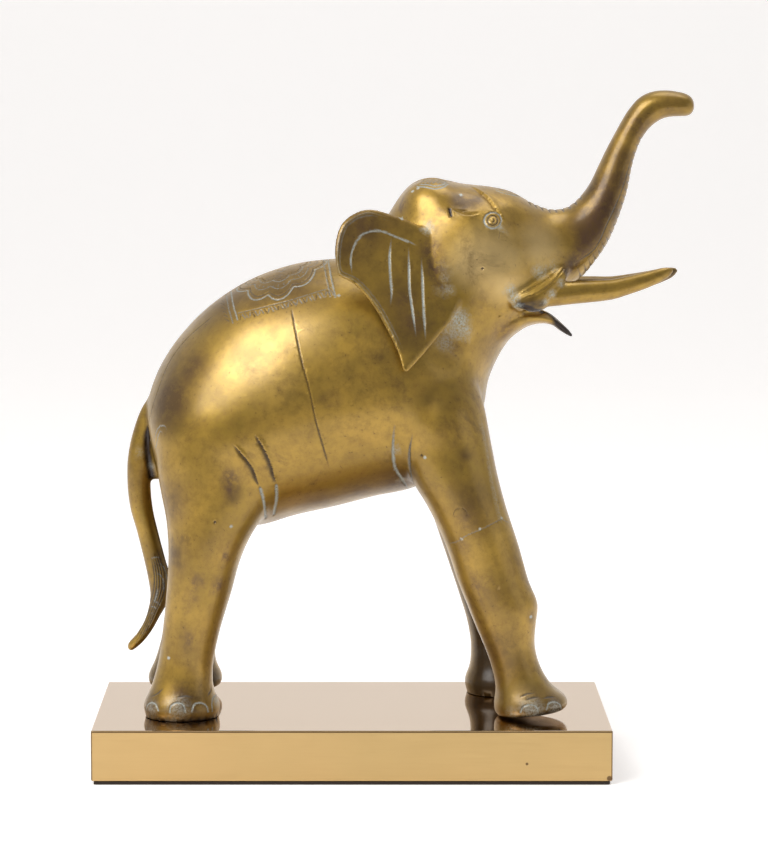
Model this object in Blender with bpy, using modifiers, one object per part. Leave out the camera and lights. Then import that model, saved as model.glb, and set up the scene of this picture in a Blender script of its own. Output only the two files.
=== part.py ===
"""Bronze elephant with a raised trunk, standing on a brass-faced plinth with a dark pad under it.

The elephant is one hollow casting in the real object and one solid here. It strides to +X with its
near side to -Y. The origin is the middle of the underside, and +Z is up. All sizes are in metres.
The figure's own shape is written in hundredths of its height, measured from the top of the plinth.
"""
import math
from typing import NamedTuple

import bmesh
import bpy
from mathutils import Vector

# Driving dimensions of the figure
ELEPHANT_HEIGHT = 0.292      # sole to the top of the raised trunk
SHARE = ELEPHANT_HEIGHT / 100
FIGURE_SETBACK = 0.006       # the figure's middle plane stands this far behind the plinth's
EAR_THICKNESS = 0.0032
BODY_VOXEL = 0.0018          # grain of the body's wax before the thin members go on
FINE_VOXEL = 0.0011          # grain of the whole casting before it is thinned out
CASTING_TRIANGLES = 9000

# Driving dimensions of the plinth
PLINTH_LENGTH = 0.240
PLINTH_DEPTH = 0.125
PLINTH_HEIGHT = 0.0236
PLINTH_EDGE = 0.0007         # soft arris on the brass
PAD_THICKNESS = 0.0015
PAD_INSET = 0.0010           # the pad stands back this far from the brass
PAD_CORNER = 0.0015
TOUCH_GAP = 0.0003           # clearance between two pieces that rest on each other

PLINTH_UNDERSIDE = PAD_THICKNESS + TOUCH_GAP
PLINTH_TOP = PLINTH_UNDERSIDE + PLINTH_HEIGHT
SOLE_LEVEL = PLINTH_TOP + TOUCH_GAP

NEAR, FAR = -1, 1            # the two sides of the figure along Y


class Section(NamedTuple):
    """One oval section of a loft, in hundredths of the elephant's height.

    a and b are the (x, z) points where the side view's outline cuts it. half is its half width
    along Y, droop widens the b half, square fills the corners, and out moves it off the middle plane.
    """
    a: tuple
    b: tuple
    half: float
    droop: float = 0.0
    square: float = 2.0
    out: float = 0.0


# Torso from rump to chest: a is on the back line and b on the belly line
TORSO = (
    Section((-33.2, 47.8), (-32.6, 44.0), 3.0),
    Section((-32.9, 50.4), (-31.6, 39.6), 7.2, 0.05),
    Section((-31.0, 55.4), (-29.4, 35.0), 11.8, 0.10),
    Section((-28.0, 60.0), (-25.6, 31.4), 14.6, 0.12),
    Section((-22.8, 65.3), (-20.0, 29.4), 16.6, 0.12),
    Section((-16.4, 69.4), (-14.4, 29.6), 17.5, 0.10),
    Section((-9.7, 71.8), (-9.0, 31.2), 17.7, 0.08),
    Section((-3.5, 72.7), (-2.6, 32.6), 17.3, 0.06),
    Section((2.6, 72.9), (3.6, 34.2), 16.6, 0.05),
    Section((8.6, 72.0), (10.0, 35.6), 15.6, 0.04),
    Section((14.0, 69.0), (15.6, 38.6), 13.6, 0.0),
    Section((18.6, 64.0), (19.6, 42.8), 10.0, 0.0),
    Section((21.0, 57.5), (21.2, 48.0), 5.0, 0.0),
)

# Neck, head and trunk in one sweep: a is on the upper outline and b on the throat and under the trunk
HEAD = (
    Section((-3.0, 66.0), (12.0, 43.0), 11.0),
    Section((1.6, 73.4), (21.0, 47.6), 13.2, 0.06),
    Section((4.4, 77.2), (22.2, 53.4), 12.4, 0.06),
    Section((6.5, 81.0), (24.2, 57.8), 11.6, 0.05),
    Section((9.4, 84.6), (26.4, 60.8), 11.2, 0.04, 2.1),
    Section((13.4, 85.8), (28.0, 62.8), 11.2, 0.04, 2.2),
    Section((17.6, 84.9), (29.2, 64.6), 10.9, 0.04, 2.2),
    Section((21.6, 84.5), (30.2, 66.0), 10.0, 0.06, 2.2),
    Section((25.5, 83.7), (32.0, 67.0), 8.6, 0.10, 2.2),
    Section((29.0, 81.8), (34.4, 68.2), 7.0, 0.12, 2.2),
    Section((32.0, 80.7), (36.9, 69.6), 5.8, 0.12, 2.2),
    Section((34.6, 81.0), (39.0, 72.0), 5.0, 0.12, 2.3),
    Section((36.8, 82.8), (41.3, 75.4), 4.4, 0.12, 2.3),
    Section((38.2, 84.7), (43.0, 79.4), 4.0, 0.12, 2.3),
    Section((39.5, 87.4), (44.3, 83.4), 3.5, 0.12, 2.3),
    Section((41.0, 90.6), (45.2, 88.0), 2.95, 0.10, 2.3),
    Section((42.7, 93.8), (46.2, 91.1), 2.7, 0.08, 2.2),
    Section((44.5, 96.9), (47.2, 92.9), 2.6, 0.05, 2.1),
    Section((46.6, 99.1), (48.5, 94.3), 2.55),
    Section((49.4, 99.95), (50.4, 95.4), 2.5),
    Section((52.4, 99.7), (52.5, 95.6), 2.5),
    Section((54.5, 99.1), (54.6, 95.7), 2.3),
    Section((55.2, 98.3), (55.2, 96.4), 1.4),
)

# Lower jaw, drawn out to a pointed lip
LOWER_JAW = (
    Section((17.0, 66.0), (18.0, 57.0), 6.0),
    Section((23.0, 66.0), (23.6, 58.2), 7.2, 0.0),
    Section((26.2, 65.4), (26.6, 60.7), 6.6, 0.0),
    Section((28.6, 65.2), (28.6, 61.9), 5.4, 0.0),
    Section((30.4, 64.6), (30.8, 62.3), 4.2, 0.0),
    Section((32.2, 63.8), (32.4, 62.0), 2.8, 0.0),
    Section((34.1, 62.2), (33.5, 61.2), 1.6, 0.0),
    Section((35.3, 61.0), (34.8, 60.4), 0.9, 0.0),
    Section((35.8, 60.3), (35.6, 60.0), 0.3, 0.0),
)

# Legs from the body down to the sole: a is on the front outline and b on the rear one
HIND_LEG = (
    Section((-11.0, 47.0), (-30.0, 48.0), 7.0, out=6.0),
    Section((-10.6, 41.0), (-31.4, 42.0), 7.8, out=7.6),
    Section((-11.6, 36.4), (-30.8, 36.6), 7.9, out=8.6),
    Section((-13.6, 32.8), (-29.9, 32.4), 7.2, out=9.4),
    Section((-16.0, 29.2), (-29.5, 29.0), 6.6, out=9.9),
    Section((-17.5, 26.0), (-29.4, 26.0), 6.1, out=10.2),
    Section((-19.3, 19.8), (-29.8, 19.5), 5.3, out=10.4),
    Section((-21.3, 13.0), (-30.5, 13.0), 4.7, out=10.4),
    Section((-22.3, 7.2), (-31.5, 7.2), 4.7, out=10.4),
    Section((-22.1, 4.0), (-32.5, 4.0), 5.3, square=2.2, out=10.4),
    Section((-21.0, 1.4), (-33.6, 1.4), 6.3, square=2.2, out=10.4),
    Section((-21.5, 0.0), (-33.1, 0.0), 5.9, square=2.2, out=10.4),
)
NEAR_FORE_LEG = (
    Section((17.6, 58.0), (3.0, 55.0), 5.6, out=7.4),
    Section((20.9, 51.0), (6.0, 48.0), 6.6, out=8.4),
    Section((22.2, 44.6), (8.2, 42.4), 6.7, out=9.2),
    Section((23.3, 39.0), (9.6, 37.8), 6.3, out=9.7),
    Section((24.6, 34.1), (11.9, 34.1), 5.9, out=10.0),
    Section((26.4, 27.7), (14.9, 27.7), 5.4, out=10.3),
    Section((28.2, 21.2), (17.1, 21.2), 5.1, out=10.5),
    Section((29.4, 18.0), (18.4, 18.0), 5.1, out=10.6),
    Section((29.3, 15.2), (19.5, 15.2), 4.9, out=10.6),
    Section((29.4, 11.5), (21.1, 11.5), 4.5, out=10.7),
    Section((30.2, 8.2), (22.4, 7.9), 4.5, out=10.7),
    Section((31.9, 5.2), (23.1, 4.6), 5.0, square=2.2, out=10.7),
    Section((34.9, 2.2), (22.8, 1.2), 6.3, square=2.2, out=10.7),
    Section((34.4, 1.2), (23.1, 0.0), 5.9, square=2.2, out=10.7),
)
FAR_FORE_LEG = (
    Section((17.4, 58.0), (3.0, 55.0), 5.6, out=7.4),
    Section((20.6, 51.0), (6.0, 48.0), 6.6, out=8.4),
    Section((21.7, 44.6), (8.2, 42.4), 6.7, out=9.2),
    Section((22.3, 39.0), (9.8, 37.8), 6.3, out=9.7),
    Section((23.0, 34.1), (11.8, 34.1), 5.9, out=10.0),
    Section((24.2, 27.7), (14.0, 27.7), 5.4, out=10.3),
    Section((25.6, 21.2), (16.2, 21.2), 5.0, out=10.5),
    Section((26.6, 16.3), (17.8, 16.3), 4.8, out=10.6),
    Section((27.0, 12.0), (19.1, 12.0), 4.5, out=10.7),
    Section((27.6, 7.4), (19.8, 7.4), 4.5, out=10.7),
    Section((28.8, 4.4), (19.6, 4.4), 5.1, square=2.2, out=10.7),
    Section((31.0, 1.4), (18.7, 1.4), 6.3, square=2.2, out=10.7),
    Section((30.5, 0.0), (19.2, 0.0), 5.9, square=2.2, out=10.7),
)
FAR_HIND_LIFT = 0.9          # this foot hangs just clear of the plinth
FAR_HIND_SETBACK = 0.4       # and stands this far behind the near one
SOLE_RUN_OUT = 2.4           # legs run this far below the soles before they are cut flat

# Tail: a is on the outer outline and b on the inner one
TAIL = (
    Section((-30.6, 52.0), (-29.4, 44.0), 1.6),
    Section((-33.4, 49.6), (-30.2, 41.8), 1.9),
    Section((-35.3, 45.4), (-31.4, 39.4), 2.0),
    Section((-36.4, 40.4), (-32.5, 37.8), 2.0),
    Section((-36.5, 36.2), (-32.7, 35.8), 1.9),
    Section((-36.1, 32.4), (-32.4, 32.2), 1.8),
    Section((-35.0, 28.3), (-31.4, 27.7), 1.7),
    Section((-34.0, 24.2), (-30.3, 23.4), 1.7),
    Section((-33.2, 20.4), (-29.5, 20.2), 1.8),
    Section((-32.9, 17.4), (-30.0, 16.8), 1.7),
    Section((-33.6, 14.2), (-31.3, 14.4), 1.4),
    Section((-35.0, 11.6), (-32.9, 11.6), 1.2),
    Section((-36.6, 9.7), (-34.8, 9.4), 0.9),
    Section((-36.7, 9.0), (-36.0, 8.5), 0.4),
)
TAIL_WEB = (
    Section((-33.6, 50.0), (-29.0, 48.0), 1.3),
    Section((-34.8, 44.0), (-29.0, 42.0), 1.5),
    Section((-34.0, 38.0), (-29.0, 38.2), 1.3),
    Section((-33.0, 36.6), (-29.6, 37.0), 0.8),
)

# Tusks, each in its own sheath, as (x, z), radius and distance from the middle plane
TUSK = (
    ((28.0, 67.0), 1.70, 7.4),
    ((31.6, 67.4), 1.85, 7.2),
    ((35.9, 67.8), 1.85, 6.7),
    ((39.1, 68.0), 1.78, 6.2),
    ((41.6, 68.2), 1.65, 5.8),
    ((44.1, 68.8), 1.50, 5.3),
    ((46.7, 69.5), 1.35, 4.8),
    ((49.1, 70.3), 1.12, 4.4),
    ((50.9, 71.0), 0.72, 4.1),
    ((51.5, 71.3), 0.30, 4.0),
)
FAR_TUSK_STRETCH = 1.06      # the far tusk is a little longer than the near one
FAR_TUSK_DROP = 0.6
TUSK_SHEATH = (
    Section((24.6, 67.6), (25.8, 65.2), 1.6, out=8.6),
    Section((27.8, 69.0), (28.2, 64.6), 2.2, out=8.2),
    Section((30.8, 70.6), (30.6, 64.9), 2.4, out=7.4),
    Section((33.2, 71.6), (31.8, 66.0), 2.2, out=6.8),
    Section((34.8, 71.8), (33.6, 68.4), 1.4, out=6.2),
)

# Ears: the outline in the side view, from the notch over the shoulder clockwise
EAR_OUTLINE = (
    (-2.2, 71.1), (-2.7, 75.4), (-1.4, 79.4), (2.2, 81.3), (6.4, 80.4), (10.4, 78.8),
    (13.6, 76.6), (16.2, 72.4), (17.6, 67.4), (16.5, 64.8), (13.3, 60.9), (10.8, 58.1),
    (8.4, 56.0), (7.4, 58.6), (5.4, 62.8), (2.6, 67.3), (0.2, 69.8),
)
EAR_HEART = (5.0, 70.0)      # the hollow of the ear, which its rings close in on
EAR_STAND_OFF = 13.2         # from the middle plane to the ear's hollow
EAR_SWEEP = -0.30            # the ear comes in by this for each step forward
EAR_LEAN = -0.27             # and for each step up
EAR_DISH = 0.005             # how strongly the rim curls out, by the square of the distance
FAR_EAR_DROP = 3.3           # the far ear is set a little lower than the near one

# Bulges and hollows pressed into the wax: (x, y, z), reach and height along the surface
SWELLS = (
    ((11.8, 4.8, 84.4), 5.6, 0.9),      # twin domes of the crown
    ((13.4, 0.0, 86.2), 3.0, -0.9),     # furrow between the domes
    ((17.4, 9.0, 82.6), 4.0, -1.1),     # temple
    ((26.5, 8.4, 79.0), 4.2, -0.5),     # hollow before the eye
    ((22.7, 10.2, 79.4), 1.9, 0.55),    # eyeball
    ((20.0, 11.0, 71.5), 7.0, 0.4),     # cheek
    ((15.0, 14.2, 49.0), 6.5, 0.9),     # point of the shoulder
    ((14.6, 11.6, 59.6), 5.0, -0.7),    # fold between neck and shoulder
    ((-22.0, 15.0, 45.0), 9.0, 0.5),    # haunch
)


def hermite(rows, step):
    """Return rows of numbers on a smooth curve through the given rows, about one step apart."""
    rows = [list(map(float, row)) for row in rows]
    gaps = [max(math.dist(p, q), 1e-6) for p, q in zip(rows, rows[1:])]
    slopes = [[(q - p) / gap for p, q in zip(a, b)] for a, b, gap in zip(rows, rows[1:], gaps)]
    tangents = [slopes[0]]
    for before, after, gap_0, gap_1 in zip(slopes, slopes[1:], gaps, gaps[1:]):
        tangents.append([(s * gap_1 + t * gap_0) / (gap_0 + gap_1) for s, t in zip(before, after)])
    tangents.append(slopes[-1])
    curve = []
    for index, gap in enumerate(gaps):
        count = max(1, round(gap / step))
        for k in range(count):
            t = k / count
            h = (2 * t**3 - 3 * t**2 + 1, (t**3 - 2 * t**2 + t) * gap,
                 3 * t**2 - 2 * t**3, (t**3 - t**2) * gap)
            curve.append([h[0] * p + h[1] * m + h[2] * q + h[3] * n for p, m, q, n in zip(
                rows[index], tangents[index], rows[index + 1], tangents[index + 1])])
    curve.append(rows[-1])
    return curve


def place(x, y, z):
    """Turn hundredths of the figure's height into metres from the origin."""
    return Vector((x * SHARE, y * SHARE + FIGURE_SETBACK, z * SHARE + SOLE_LEVEL))


def section_ring(row, side, around):
    """Return the points of one oval section."""
    ax, az, bx, bz, half, droop, square, out = row
    points = []
    for k in range(around):
        angle = math.tau * k / around
        up, across = math.cos(angle), math.sin(angle)
        up = math.copysign(abs(up) ** (2 / square), up)
        across = math.copysign(abs(across) ** (2 / square), across)
        y = side * out + half * across * (1 - droop * up)
        points.append(place((ax + bx) / 2 + (ax - bx) / 2 * up, y, (az + bz) / 2 + (az - bz) / 2 * up))
    return points


def skin(bm, rings):
    """Join rings of points into one closed shell with a flat face at each end."""
    loops = [[bm.verts.new(point) for point in ring] for ring in rings]
    for lower, upper in zip(loops, loops[1:]):
        for k in range(len(lower)):
            j = (k + 1) % len(lower)
            bm.faces.new((lower[k], lower[j], upper[j], upper[k]))
    bm.faces.new(loops[0][::-1])
    bm.faces.new(loops[-1])


def loft(bm, sections, side=FAR, around=32, step=2.0):
    """Skin a smooth shell over a few sections."""
    rows = hermite([(*s.a, *s.b, s.half, s.droop, s.square, s.out) for s in sections], step)
    skin(bm, [section_ring(row, side, around) for row in rows])


def leg(bm, sections, side, shift=0.0, lift=0.0):
    """Skin a leg, and run it on below its sole so that the sole can be cut flat."""
    sections = [s._replace(a=(s.a[0] + shift, s.a[1] + lift), b=(s.b[0] + shift, s.b[1] + lift))
                for s in sections]
    sole = sections[-1]
    if not lift and sole.a[1] == sole.b[1]:
        sections.append(sole._replace(a=(sole.a[0], -SOLE_RUN_OUT), b=(sole.b[0], -SOLE_RUN_OUT)))
    loft(bm, sections, side)


def tusk(bm, side):
    """Skin one tusk from its root in the sheath to its point."""
    stretch = FAR_TUSK_STRETCH if side == FAR else 1.0
    drop = FAR_TUSK_DROP if side == FAR else 0.0
    root_x = TUSK[0][0][0]
    tip_x = TUSK[-1][0][0]
    rows = []
    for (x, z), radius, out in TUSK:
        reach = (x - root_x) / (tip_x - root_x)
        rows.append((root_x + (x - root_x) * stretch, z - drop * reach, radius, out))
    rings = []
    rows = hermite(rows, 1.5)
    for before, (x, z, radius, out), after in zip(rows[:1] + rows, rows, rows[1:] + rows[-1:]):
        run = Vector((after[0] - before[0], after[1] - before[1])).normalized()
        up = Vector((-run.y, run.x)) * radius
        row = (x + up.x, z + up.y, x - up.x, z - up.y, radius * 0.92, 0, 2, out)
        rings.append(section_ring(row, side, 20))
    skin(bm, rings)


def ear_stand_off(x, z):
    """Return how far the middle of the ear's plate stands from the figure's middle plane."""
    dx, dz = x - EAR_HEART[0], z - EAR_HEART[1]
    return EAR_STAND_OFF + EAR_SWEEP * dx + EAR_LEAN * dz + EAR_DISH * (dx * dx + dz * dz)


def ear(bm, side):
    """Skin an ear: a dished plate of even thickness with a rounded rim."""
    half = EAR_THICKNESS / SHARE / 2
    outline = hermite(EAR_OUTLINE + EAR_OUTLINE[:1], 1.2)[:-1]
    outer = ((0.06, 1.0), (0.3, 1.0), (0.55, 1.0), (0.78, 1.0), (0.93, 0.95), (0.98, 0.7), (1.0, 0.2))
    rim = outer + tuple((size, -depth) for size, depth in outer[::-1])
    rings = []
    drop = FAR_EAR_DROP if side == FAR else 0.0
    for size, depth in rim:
        ring = []
        for x, z in outline:
            x = EAR_HEART[0] + (x - EAR_HEART[0]) * size
            z = EAR_HEART[1] + (z - EAR_HEART[1]) * size
            ring.append(place(x, side * (ear_stand_off(x, z) + half * depth), z - drop))
        rings.append(ring)
    skin(bm, rings)


def new_object(name, bm, collection):
    """Wrap a bmesh in an object of its own."""
    bmesh.ops.recalc_face_normals(bm, faces=bm.faces[:])
    mesh = bpy.data.meshes.new(name)
    bm.to_mesh(mesh)
    bm.free()
    piece = bpy.data.objects.new(name, mesh)
    collection.objects.link(piece)
    return piece


def applied(piece):
    """Replace a piece's mesh by what its modifiers make of it."""
    bpy.context.view_layer.update()
    depsgraph = bpy.context.evaluated_depsgraph_get()
    mesh = bpy.data.meshes.new_from_object(piece.evaluated_get(depsgraph))
    piece.modifiers.clear()
    piece.data = mesh
    return piece


def press(piece):
    """Push the bulges and hollows of the modelling into the skin, on both sides."""
    bm = bmesh.new()
    bm.from_mesh(piece.data)
    bm.normal_update()
    for (x, y, z), reach, height in SWELLS:
        for side in (NEAR, FAR) if y else (FAR,):
            centre = place(x, side * y, z)
            for vert in bm.verts:
                share = (vert.co - centre).length / (reach * SHARE)
                if share < 1:
                    vert.co += vert.normal * height * SHARE * (1 - share * share) ** 2
    bm.to_mesh(piece.data)
    bm.free()


def metal(name, colour, roughness):
    """Return a bare metal."""
    material = bpy.data.materials.new(name)
    material.use_nodes = True
    shader = material.node_tree.nodes["Principled BSDF"]
    shader.inputs["Base Color"].default_value = (*colour, 1)
    shader.inputs["Roughness"].default_value = roughness
    shader.inputs["Metallic"].default_value = 1.0
    material.diffuse_color = (*colour, 1)
    return material


def fused(piece, voxel, passes):
    """Melt a piece's overlapping shells into one skin, and smooth it over."""
    fuse = piece.modifiers.new("fuse", "REMESH")
    fuse.mode = "VOXEL"
    fuse.voxel_size = voxel
    if passes:
        soften = piece.modifiers.new("soften", "SMOOTH")
        soften.factor = 0.5
        soften.iterations = passes
    return applied(piece)


def make_elephant(parts, cutters):
    """Fuse the lofted forms into one casting, as the wax was worked into one."""
    bm = bmesh.new()
    loft(bm, TORSO, around=48)
    loft(bm, HEAD, around=40)
    loft(bm, TAIL_WEB)
    leg(bm, HIND_LEG, NEAR)
    leg(bm, HIND_LEG, FAR, -FAR_HIND_SETBACK, FAR_HIND_LIFT)
    leg(bm, NEAR_FORE_LEG, NEAR)
    leg(bm, FAR_FORE_LEG, FAR)
    for side in (NEAR, FAR):
        loft(bm, TUSK_SHEATH, side)
    elephant = fused(new_object("elephant", bm, parts), BODY_VOXEL, 12)
    press(elephant)

    bm = bmesh.new()
    bm.from_mesh(elephant.data)
    for side in (NEAR, FAR):
        ear(bm, side)
        tusk(bm, side)
    loft(bm, TAIL, around=20, step=1.5)
    loft(bm, LOWER_JAW, around=24, step=1.5)
    bm.to_mesh(elephant.data)
    bm.free()
    fused(elephant, FINE_VOXEL, 2)

    bm = bmesh.new()
    bmesh.ops.create_cube(bm, size=1.0)
    floor = new_object("sole_cutter", bm, cutters)
    floor.scale = (ELEPHANT_HEIGHT * 1.2, ELEPHANT_HEIGHT * 0.6, SOLE_RUN_OUT * SHARE * 2)
    floor.location = (0, FIGURE_SETBACK, SOLE_LEVEL - floor.scale.z / 2)
    floor.hide_render = True
    floor.display_type = "WIRE"
    cut = elephant.modifiers.new("soles", "BOOLEAN")
    cut.operation = "DIFFERENCE"
    cut.object = floor
    applied(elephant)
    thin = elephant.modifiers.new("thin", "DECIMATE")
    thin.ratio = CASTING_TRIANGLES / sum(len(face.vertices) - 2 for face in elephant.data.polygons)
    applied(elephant)
    elephant.data.shade_smooth()
    elephant.data.materials.clear()
    elephant.data.materials.append(metal("aged_bronze", (0.34, 0.21, 0.07), 0.38))
    return elephant


def make_slab(name, size, centre_z, edge, collection):
    """Return a rectangular slab with soft edges."""
    bm = bmesh.new()
    bmesh.ops.create_cube(bm, size=1.0)
    bmesh.ops.scale(bm, vec=size, verts=bm.verts[:])
    slab = new_object(name, bm, collection)
    slab.location = (0, 0, centre_z)
    soft = slab.modifiers.new("soft_edges", "BEVEL")
    soft.width = edge
    soft.segments = 3
    return slab


def make_plinth(parts):
    """Make the brass slab that the elephant stands on."""
    plinth = make_slab("plinth", (PLINTH_LENGTH, PLINTH_DEPTH, PLINTH_HEIGHT),
                       PLINTH_UNDERSIDE + PLINTH_HEIGHT / 2, PLINTH_EDGE, parts)
    plinth.data.materials.append(metal("polished_brass", (0.72, 0.47, 0.18), 0.16))
    return plinth


def make_pad(parts):
    """Make the dark pad glued under the plinth."""
    bm = bmesh.new()
    bmesh.ops.create_cube(bm, size=1.0)
    bmesh.ops.scale(bm, verts=bm.verts[:], vec=(
        PLINTH_LENGTH - 2 * PAD_INSET, PLINTH_DEPTH - 2 * PAD_INSET, PAD_THICKNESS))
    upright = [edge for edge in bm.edges if abs(edge.verts[0].co.z - edge.verts[1].co.z) > PAD_THICKNESS / 2]
    bmesh.ops.bevel(bm, geom=upright, offset=PAD_CORNER, segments=4, profile=0.5, affect="EDGES", material=-1)
    pad = new_object("underside_pad", bm, parts)
    pad.location = (0, 0, PAD_THICKNESS / 2)
    cloth = metal("dark_felt", (0.03, 0.022, 0.016), 0.9)
    cloth.node_tree.nodes["Principled BSDF"].inputs["Metallic"].default_value = 0.0
    pad.data.materials.append(cloth)
    return pad


def main():
    for leftover in list(bpy.data.objects):
        bpy.data.objects.remove(leftover, do_unlink=True)
    parts = bpy.data.collections.new("bronze_elephant")
    cutters = bpy.data.collections.new("cutters")
    for collection in (parts, cutters):
        bpy.context.scene.collection.children.link(collection)
    make_elephant(parts, cutters)
    make_plinth(parts)
    make_pad(parts)


main()
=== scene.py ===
# %% [markdown]
# A bronze elephant with its trunk raised
#
# The real thing is one hollow bronze casting, worn by long handling, that strides across a thin stand faced
# with polished brass. Its maker modelled it in wax, engraved the saddle cloth, the ears and the toenails, and
# poured the metal. This lesson follows the same order: model the wax, melt it into one skin, engrave it, then
# give it the metal's colour, its stains and the pale salts in its grooves.
#
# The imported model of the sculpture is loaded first. It fixes every size, and nothing here moves it.

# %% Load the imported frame
import math
from typing import NamedTuple

import bmesh
import bpy
import numpy as np
from mathutils import Euler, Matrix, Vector
from mathutils.bvhtree import BVHTree
from mathutils.kdtree import KDTree


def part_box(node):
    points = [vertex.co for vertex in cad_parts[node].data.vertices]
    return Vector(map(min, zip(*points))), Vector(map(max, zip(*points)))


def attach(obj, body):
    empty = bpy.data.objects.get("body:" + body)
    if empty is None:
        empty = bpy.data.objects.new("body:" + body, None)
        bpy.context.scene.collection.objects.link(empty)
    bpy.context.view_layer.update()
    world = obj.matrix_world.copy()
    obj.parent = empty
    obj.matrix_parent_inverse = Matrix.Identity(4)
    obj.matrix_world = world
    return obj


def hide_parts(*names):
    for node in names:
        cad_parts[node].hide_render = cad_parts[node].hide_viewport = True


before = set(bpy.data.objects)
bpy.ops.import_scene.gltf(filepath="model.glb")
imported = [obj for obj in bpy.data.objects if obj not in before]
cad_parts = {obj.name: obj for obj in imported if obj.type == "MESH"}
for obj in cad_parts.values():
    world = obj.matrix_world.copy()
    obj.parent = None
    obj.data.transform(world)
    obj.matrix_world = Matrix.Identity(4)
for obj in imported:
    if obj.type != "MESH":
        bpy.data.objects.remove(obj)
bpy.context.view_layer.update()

# %% [markdown]
# The camera comes before the figure, because the engraving is placed by what the photograph shows. A ray
# from the camera through a pixel of the photograph lands on the wax exactly where the real line is cut.
# The lens is long and stands about 1.7 m away, looking a little down, as a catalogue photographer would.

# %% The photograph's camera
PHOTO_WIDTH, PHOTO_HEIGHT = 768, 858
FOCAL_PIXELS = 3662.5
MIDDLE_COLUMN = 351.8        # the pixel column that the object's X = 0 falls on
CAMERA_PLACE = Vector((0.0, -1.7189, 0.3522))
CAMERA_TURN = Euler((math.radians(90 - 6.449), 0, 0))
SENSOR_WIDTH = 36.0

lens = bpy.data.cameras.new("photo_camera")
lens.sensor_fit = "HORIZONTAL"
lens.sensor_width = SENSOR_WIDTH
lens.lens = FOCAL_PIXELS / PHOTO_WIDTH * SENSOR_WIDTH
lens.shift_x = (PHOTO_WIDTH / 2 - MIDDLE_COLUMN) / PHOTO_WIDTH
camera = bpy.data.objects.new("photo_camera", lens)
camera.location = CAMERA_PLACE
camera.rotation_euler = CAMERA_TURN
bpy.context.scene.collection.objects.link(camera)
bpy.context.scene.camera = camera


def photo_ray(pixel):
    """Return the direction from the camera through a pixel of the photograph."""
    across = (pixel[0] - MIDDLE_COLUMN) / FOCAL_PIXELS
    up = (PHOTO_HEIGHT / 2 - pixel[1]) / FOCAL_PIXELS
    return (CAMERA_TURN.to_matrix() @ Vector((across, up, -1))).normalized()


print("lens in millimetres:", round(lens.lens, 1))

# %% [markdown]
# Every size of the figure is written in hundredths of its height, as a sculptor keeps proportions with a
# pair of dividers. The frame says how big one hundredth is, where the soles stand, and where the plane
# through the middle of the body lies.

# %% Proportions from the frame
TRUNK_TOP = 99.84            # the top of the trunk above the soles, in hundredths
NEAR, FAR = -1, 1            # the figure's two sides: the near one faces the camera

low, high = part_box("elephant")
SOLE = low.z
SHARE = (high.z - low.z) / TRUNK_TOP
MIDDLE = (low.y + high.y) / 2
MM = 0.001


def place(x, y, z):
    """Turn hundredths of the figure's height into a point in metres."""
    return Vector((x * SHARE, y * SHARE + MIDDLE, z * SHARE + SOLE))


print("one hundredth of the figure in millimetres:", round(SHARE / MM, 3))

# %% [markdown]
# The limbs are swept forms. Each is described by a few oval sections: two points where the side view's
# outline cuts the section, its half width, how much it droops, how square it is and how far it stands off
# the middle plane. A smooth curve runs through those numbers, so the surface between them has no kinks.
# A cage with a Subdivision Surface could do this too, but sections follow a measured outline more closely.

# %% Oval sections and the curve through them
class Section(NamedTuple):
    """One oval section of a limb, in hundredths: outline points a and b as (x, z), and its width."""
    a: tuple
    b: tuple
    half: float
    droop: float = 0.0
    square: float = 2.0
    out: float = 0.0


def smooth_rows(rows, step):
    """Return rows of numbers on a smooth curve through the given rows, about one step apart."""
    rows = [list(map(float, row)) for row in rows]
    gaps = [max(math.dist(p, q), 1e-6) for p, q in zip(rows, rows[1:])]
    slopes = [[(q - p) / gap for p, q in zip(a, b)] for a, b, gap in zip(rows, rows[1:], gaps)]
    tangents = [slopes[0]]
    for before, after, gap_0, gap_1 in zip(slopes, slopes[1:], gaps, gaps[1:]):
        tangents.append([(s * gap_1 + t * gap_0) / (gap_0 + gap_1) for s, t in zip(before, after)])
    tangents.append(slopes[-1])
    curve = []
    for index, gap in enumerate(gaps):
        count = max(1, round(gap / step))
        for k in range(count):
            t = k / count
            leave, leave_slope = 2 * t**3 - 3 * t**2 + 1, (t**3 - 2 * t**2 + t) * gap
            arrive, arrive_slope = 3 * t**2 - 2 * t**3, (t**3 - t**2) * gap
            curve.append([leave * p + leave_slope * m + arrive * q + arrive_slope * n for p, m, q, n in zip(
                rows[index], tangents[index], rows[index + 1], tangents[index + 1])])
    curve.append(rows[-1])
    return curve


def section_rows(sections, step):
    """Return a limb's sections as rows of numbers on a smooth curve."""
    return smooth_rows([(*s.a, *s.b, s.half, s.droop, s.square, s.out) for s in sections], step)


def oval_point(row, side, angle):
    """Return the point of one oval section at an angle, 0 being its outline point a."""
    ax, az, bx, bz, half, droop, square, out = row
    up, across = math.cos(angle), math.sin(angle)
    up = math.copysign(abs(up) ** (2 / square), up)
    across = math.copysign(abs(across) ** (2 / square), across)
    y = side * out + half * across * (1 - droop * up)
    return place((ax + bx) / 2 + (ax - bx) / 2 * up, y, (az + bz) / 2 + (az - bz) / 2 * up)


# %% [markdown]
# A limb starts as a circle. The circle is extruded again and again, and each new ring is moved onto the
# next oval section, like drawing out clay. Two caps close the form.

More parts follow.
